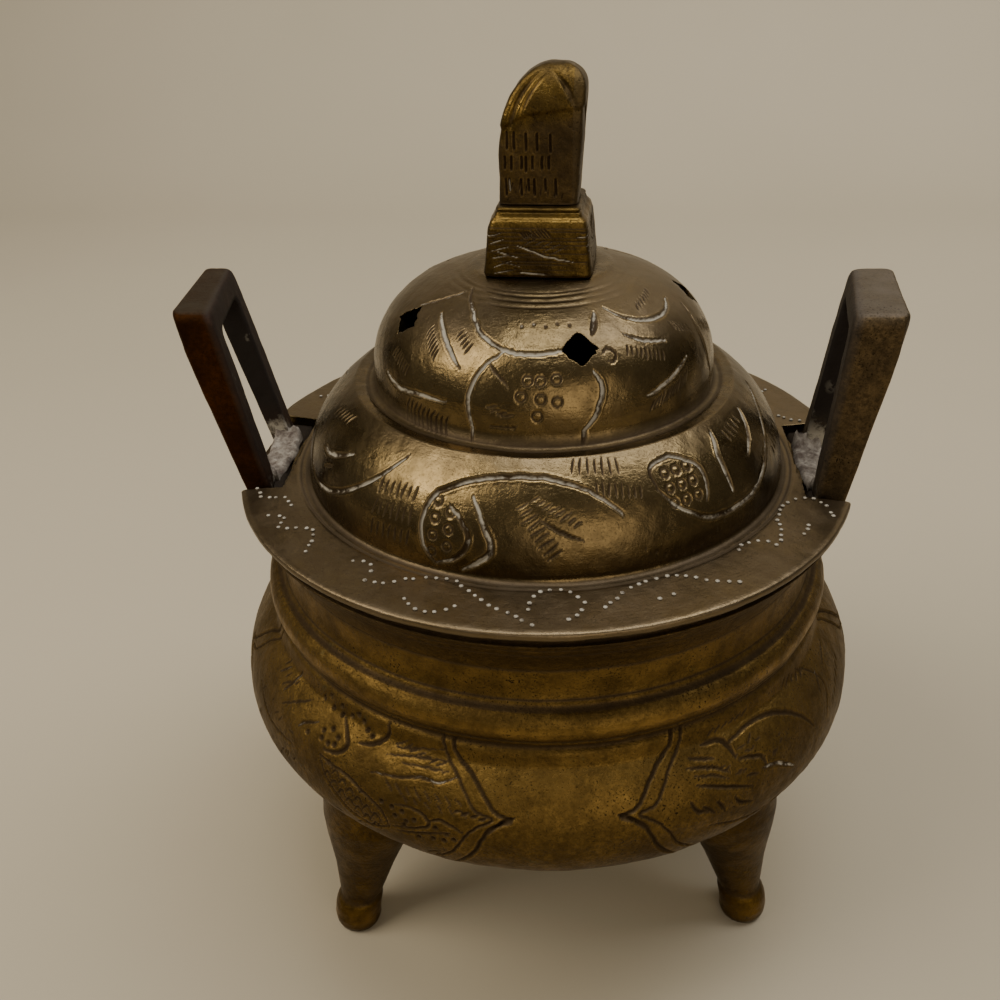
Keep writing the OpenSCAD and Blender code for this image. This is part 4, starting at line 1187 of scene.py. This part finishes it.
def knob():
    """Flat-fronted slab with rows of punched dashes and a rounded top ridged by scooped lobes."""
    h = KNOB_H
    upper = h - 0.45 * h * (1 - np.linspace(0, 1, 90)[1:]) ** 2
    z = np.concatenate([[0, 0.02], np.linspace(0.15, h * 0.55, 50), upper])
    z[-1] = h

    def quarter_in(level, spring, reach):
        """How far a quarter ellipse has come in at a level above where it springs."""
        t = np.clip((level - spring) / (h - spring), 0, 1)
        return reach * (1 - np.sqrt(1 - t * t))

    left = -5.6 + quarter_in(z, 7.4, 7.4)
    right_in = np.where(z > h - 3.2, quarter_in(z, h - 3.2, 3.6), 0)
    right = 5.4 + 0.9 * np.clip(z / 14.6, 0, 1) - right_in
    front = -4.6 + quarter_in(z, 10.4, 4.6)
    back = 3.4 - quarter_in(z, 12, 2.6)
    right = np.maximum(right, left + 0.3)
    back = np.maximum(back, front + 0.3)
    left[0], right[0], front[0], back[0] = -0.2, 0.2, -0.2, 0.2
    block = Block(STEP_Z, z, left, right, front, back, 9.0)
    block.face("front")
    upper_row = [(x, 9.6 - 0.1 * k, 0.05, 7.5 - 0.1 * k)
                 for k, x in enumerate((-4.3, -3.3, -1.7, -0.2, 1.6))]
    middle_row = [(x, 6.4, 0, 4.7 + 0.2 * math.sin(5 * x))
                  for x in (-4.6, -3.7, -2.3, -1.7, -0.8, 0.5, 1.4)]
    lower_row = [(x, 3.4, 0.1, 1.4 + 0.6 * (k % 2))
                 for k, x in enumerate((-4.5, -4.0, -2.4, -1.4, -0.6, 0.9, 2.3))]
    for x, top, slant, bottom in upper_row + middle_row + lower_row:
        chalk = 0.8 * (x == -4.0)
        block.stroke((x, top), (x + slant, bottom), half=0.24, chalk=chalk, taper=False)
    block.hatch((-3.6, 2.6), (3.2, 1.2), 8, 1.0, 5, 0.16, 0.16)
    block.face("back")
    for row in (8, 5.4, 2.8):
        block.hatch((-3.8, row), (3.8, row), 7, 1.8, 0, 0.2, 0.22)
    level = block.level
    from_left = block.x - block.x.min(1, keepdims=True)
    from_right = block.x.max(1, keepdims=True) - block.x
    ridges = ((from_left, 1.5, 0.34, 0.36, 9.6), (from_left, 2.7, 0.24, 0.16, 11.6),
              (from_right, 1.2 + 0.45 * np.clip(level - 12, 0, 9), 0.4, 0.42, 12.2),
              (from_right, 2.3 + 0.3 * np.clip(level - 13, 0, 9), 0.3, 0.24, 13.6))
    for away, centre, wide, depth, start in ridges:
        groove = hump(away, centre, wide) * np.clip((level - start) / 1.5, 0, 1)
        groove = groove * np.clip((16.9 - level) / 1.6, 0, 1)
        block.push -= depth * groove
        block.stain("cut", 0.55 * groove)
    front_side = block.y < block.y.mean(1, keepdims=True)
    lip = 10.3 + 0.5 * np.clip(block.x + 5, 0, 3.2) + 0.12 * np.clip(block.x + 1.8, 0, 9)
    below = np.clip((lip - level) / 0.5, 0, 1) * np.clip((level - lip + 3) / 2.6, 0, 1)
    block.push -= 0.22 * below * front_side
    # painted shade: the front below the lip is darkened, fading in over 2.5 mm under it
    block.stain("cut", 0.42 * np.clip((lip - level) / 2.5, 0, 1) * front_side)
    # painted highlight: a bright lobe low on the left of the front and a bright brow near the top,
    # on the front side only
    lobe = hump(level, lip + 1.3, 1.0) * np.clip(-1.2 - block.x, 0, 1)
    brow = hump(level, 15.2, 1.2) * np.clip(1 - np.abs(block.x - 0.8) / 3.4, 0, 1)
    block.stain("wear_and_sheen", np.clip((lobe + brow) * front_side, 0, 0.9))
    block.push += 0.05 * wobble(block.x, block.y, block.z, 4, 5) - 0.06
    block.stain("cut", 0.9 * hump(level, 0, 0.3))
    block.stain("dull", 0.5 * (block.x > 4.6))
    finish_piece(block.mesh("knob_cast"), FINIAL_BRASS, "lid", "finial_brass", "finial_knob")


# ---- light, floor and camera ------------------------------------------------


def area_light(name, place, target, size, power, colour):
    light = bpy.data.lights.new(name, "AREA")
    light.shape = "RECTANGLE"
    light.size, light.size_y = size
    light.energy = power
    light.color = colour
    lamp = bpy.data.objects.new(name, light)
    lamp.location = place
    lamp.rotation_euler = (Vector(target) - Vector(place)).to_track_quat("-Z", "Y").to_euler()
    bpy.context.scene.collection.objects.link(lamp)


def studio():
    """A pale floor that curves up into a wall behind, three soft lights and a dim surround."""
    turn = np.radians(np.arange(0, 91, 5))
    across = np.stack([SWEEP_Y + SWEEP_R * np.sin(turn), SWEEP_R * (1 - np.cos(turn))], -1)
    line = [(-2.5, 0), *across.tolist(), (SWEEP_Y + SWEEP_R, 2.5)]
    points = [(x, y, z) for y, z in line for x in (-2.5, 2.5)]
    mesh = bpy.data.meshes.new("floor")
    strips = range(0, 2 * len(line) - 2, 2)
    mesh.from_pydata(points, [], [(k, k + 1, k + 3, k + 2) for k in strips])
    floor = new_object("floor", mesh)
    floor.data.materials.append(FLOOR)
    centre = (0, 0, 0.07)
    area_light("key", (-0.43, -0.17, 0.57), centre, (0.38, 0.45), 3.2, (1.0, 0.93, 0.84))
    area_light("fill", (0.30, -0.75, 0.28), centre, (0.7, 0.5), 2.0, (1.0, 0.88, 0.74))
    area_light("wall", (0.25, 0.08, 0.82), (0.1, 0.62, 0.3), (0.8, 0.5), 8.0, (0.96, 0.96, 1.0))
    world = bpy.data.worlds.new("studio")
    world.use_nodes = True
    surround = world.node_tree.nodes["Background"].inputs
    surround["Color"].default_value = (0.80, 0.74, 0.66, 1)
    surround["Strength"].default_value = 0.20
    bpy.context.scene.world = world


def camera():
    """Close three-quarter view from above, a little to the right of the front."""
    swing, lift, distance = math.radians(2.7), math.radians(28.17), 0.1627
    aim_turn, aim_down, roll = math.radians(5.59), math.radians(31.15), math.radians(-1.77)
    flat, height = distance * math.cos(lift), distance * math.sin(lift)
    place = Vector((flat * math.sin(swing), -flat * math.cos(swing), FLANGE_Z * MM + height))
    level = math.cos(aim_down)
    ahead = Vector((-math.sin(aim_turn) * level, math.cos(aim_turn) * level, -math.sin(aim_down)))
    right = ahead.cross(Vector((0, 0, 1))).normalized()
    up = right.cross(ahead)
    c, s = math.cos(roll), math.sin(roll)
    right, up = right * c + up * s, up * c - right * s
    data = bpy.data.cameras.new("camera")
    data.sensor_width = 36
    data.lens = 36.14
    data.clip_start = 0.01
    view = bpy.data.objects.new("camera", data)
    look = Matrix((right, up, -ahead)).transposed().to_4x4()
    view.matrix_world = Matrix.Translation(place) @ look
    bpy.context.scene.collection.objects.link(view)
    bpy.context.scene.camera = view


# ---- the scene --------------------------------------------------------------

CHALK = crust("polish_residue", (0.42, 0.39, 0.31), (0.26, 0.23, 0.17))
camera()
studio()
bowl()
lid()
residue_dots()
for place, leg_bearing in zip(("front_left", "front_right", "back"), LEG_BEARINGS):
    leg(f"leg_{place}_cast", leg_bearing)
handle("handle_left_cast", -1, (45.4, 46.4, 52.4, 54), (4, 3.2, 6.4, 4.4), LEFT_BRASS)
handle("handle_right_cast", 1, (45.2, 46.2, 50, 52.6), (4.6, 3.8, 8, 6.6), RIGHT_BRASS)
solder()
pedestal()
knob()
for node in ("leg_screws", "finial_screw", "finial_washer"):
    for material_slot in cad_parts[node].material_slots:
        material_slot.material = STEEL
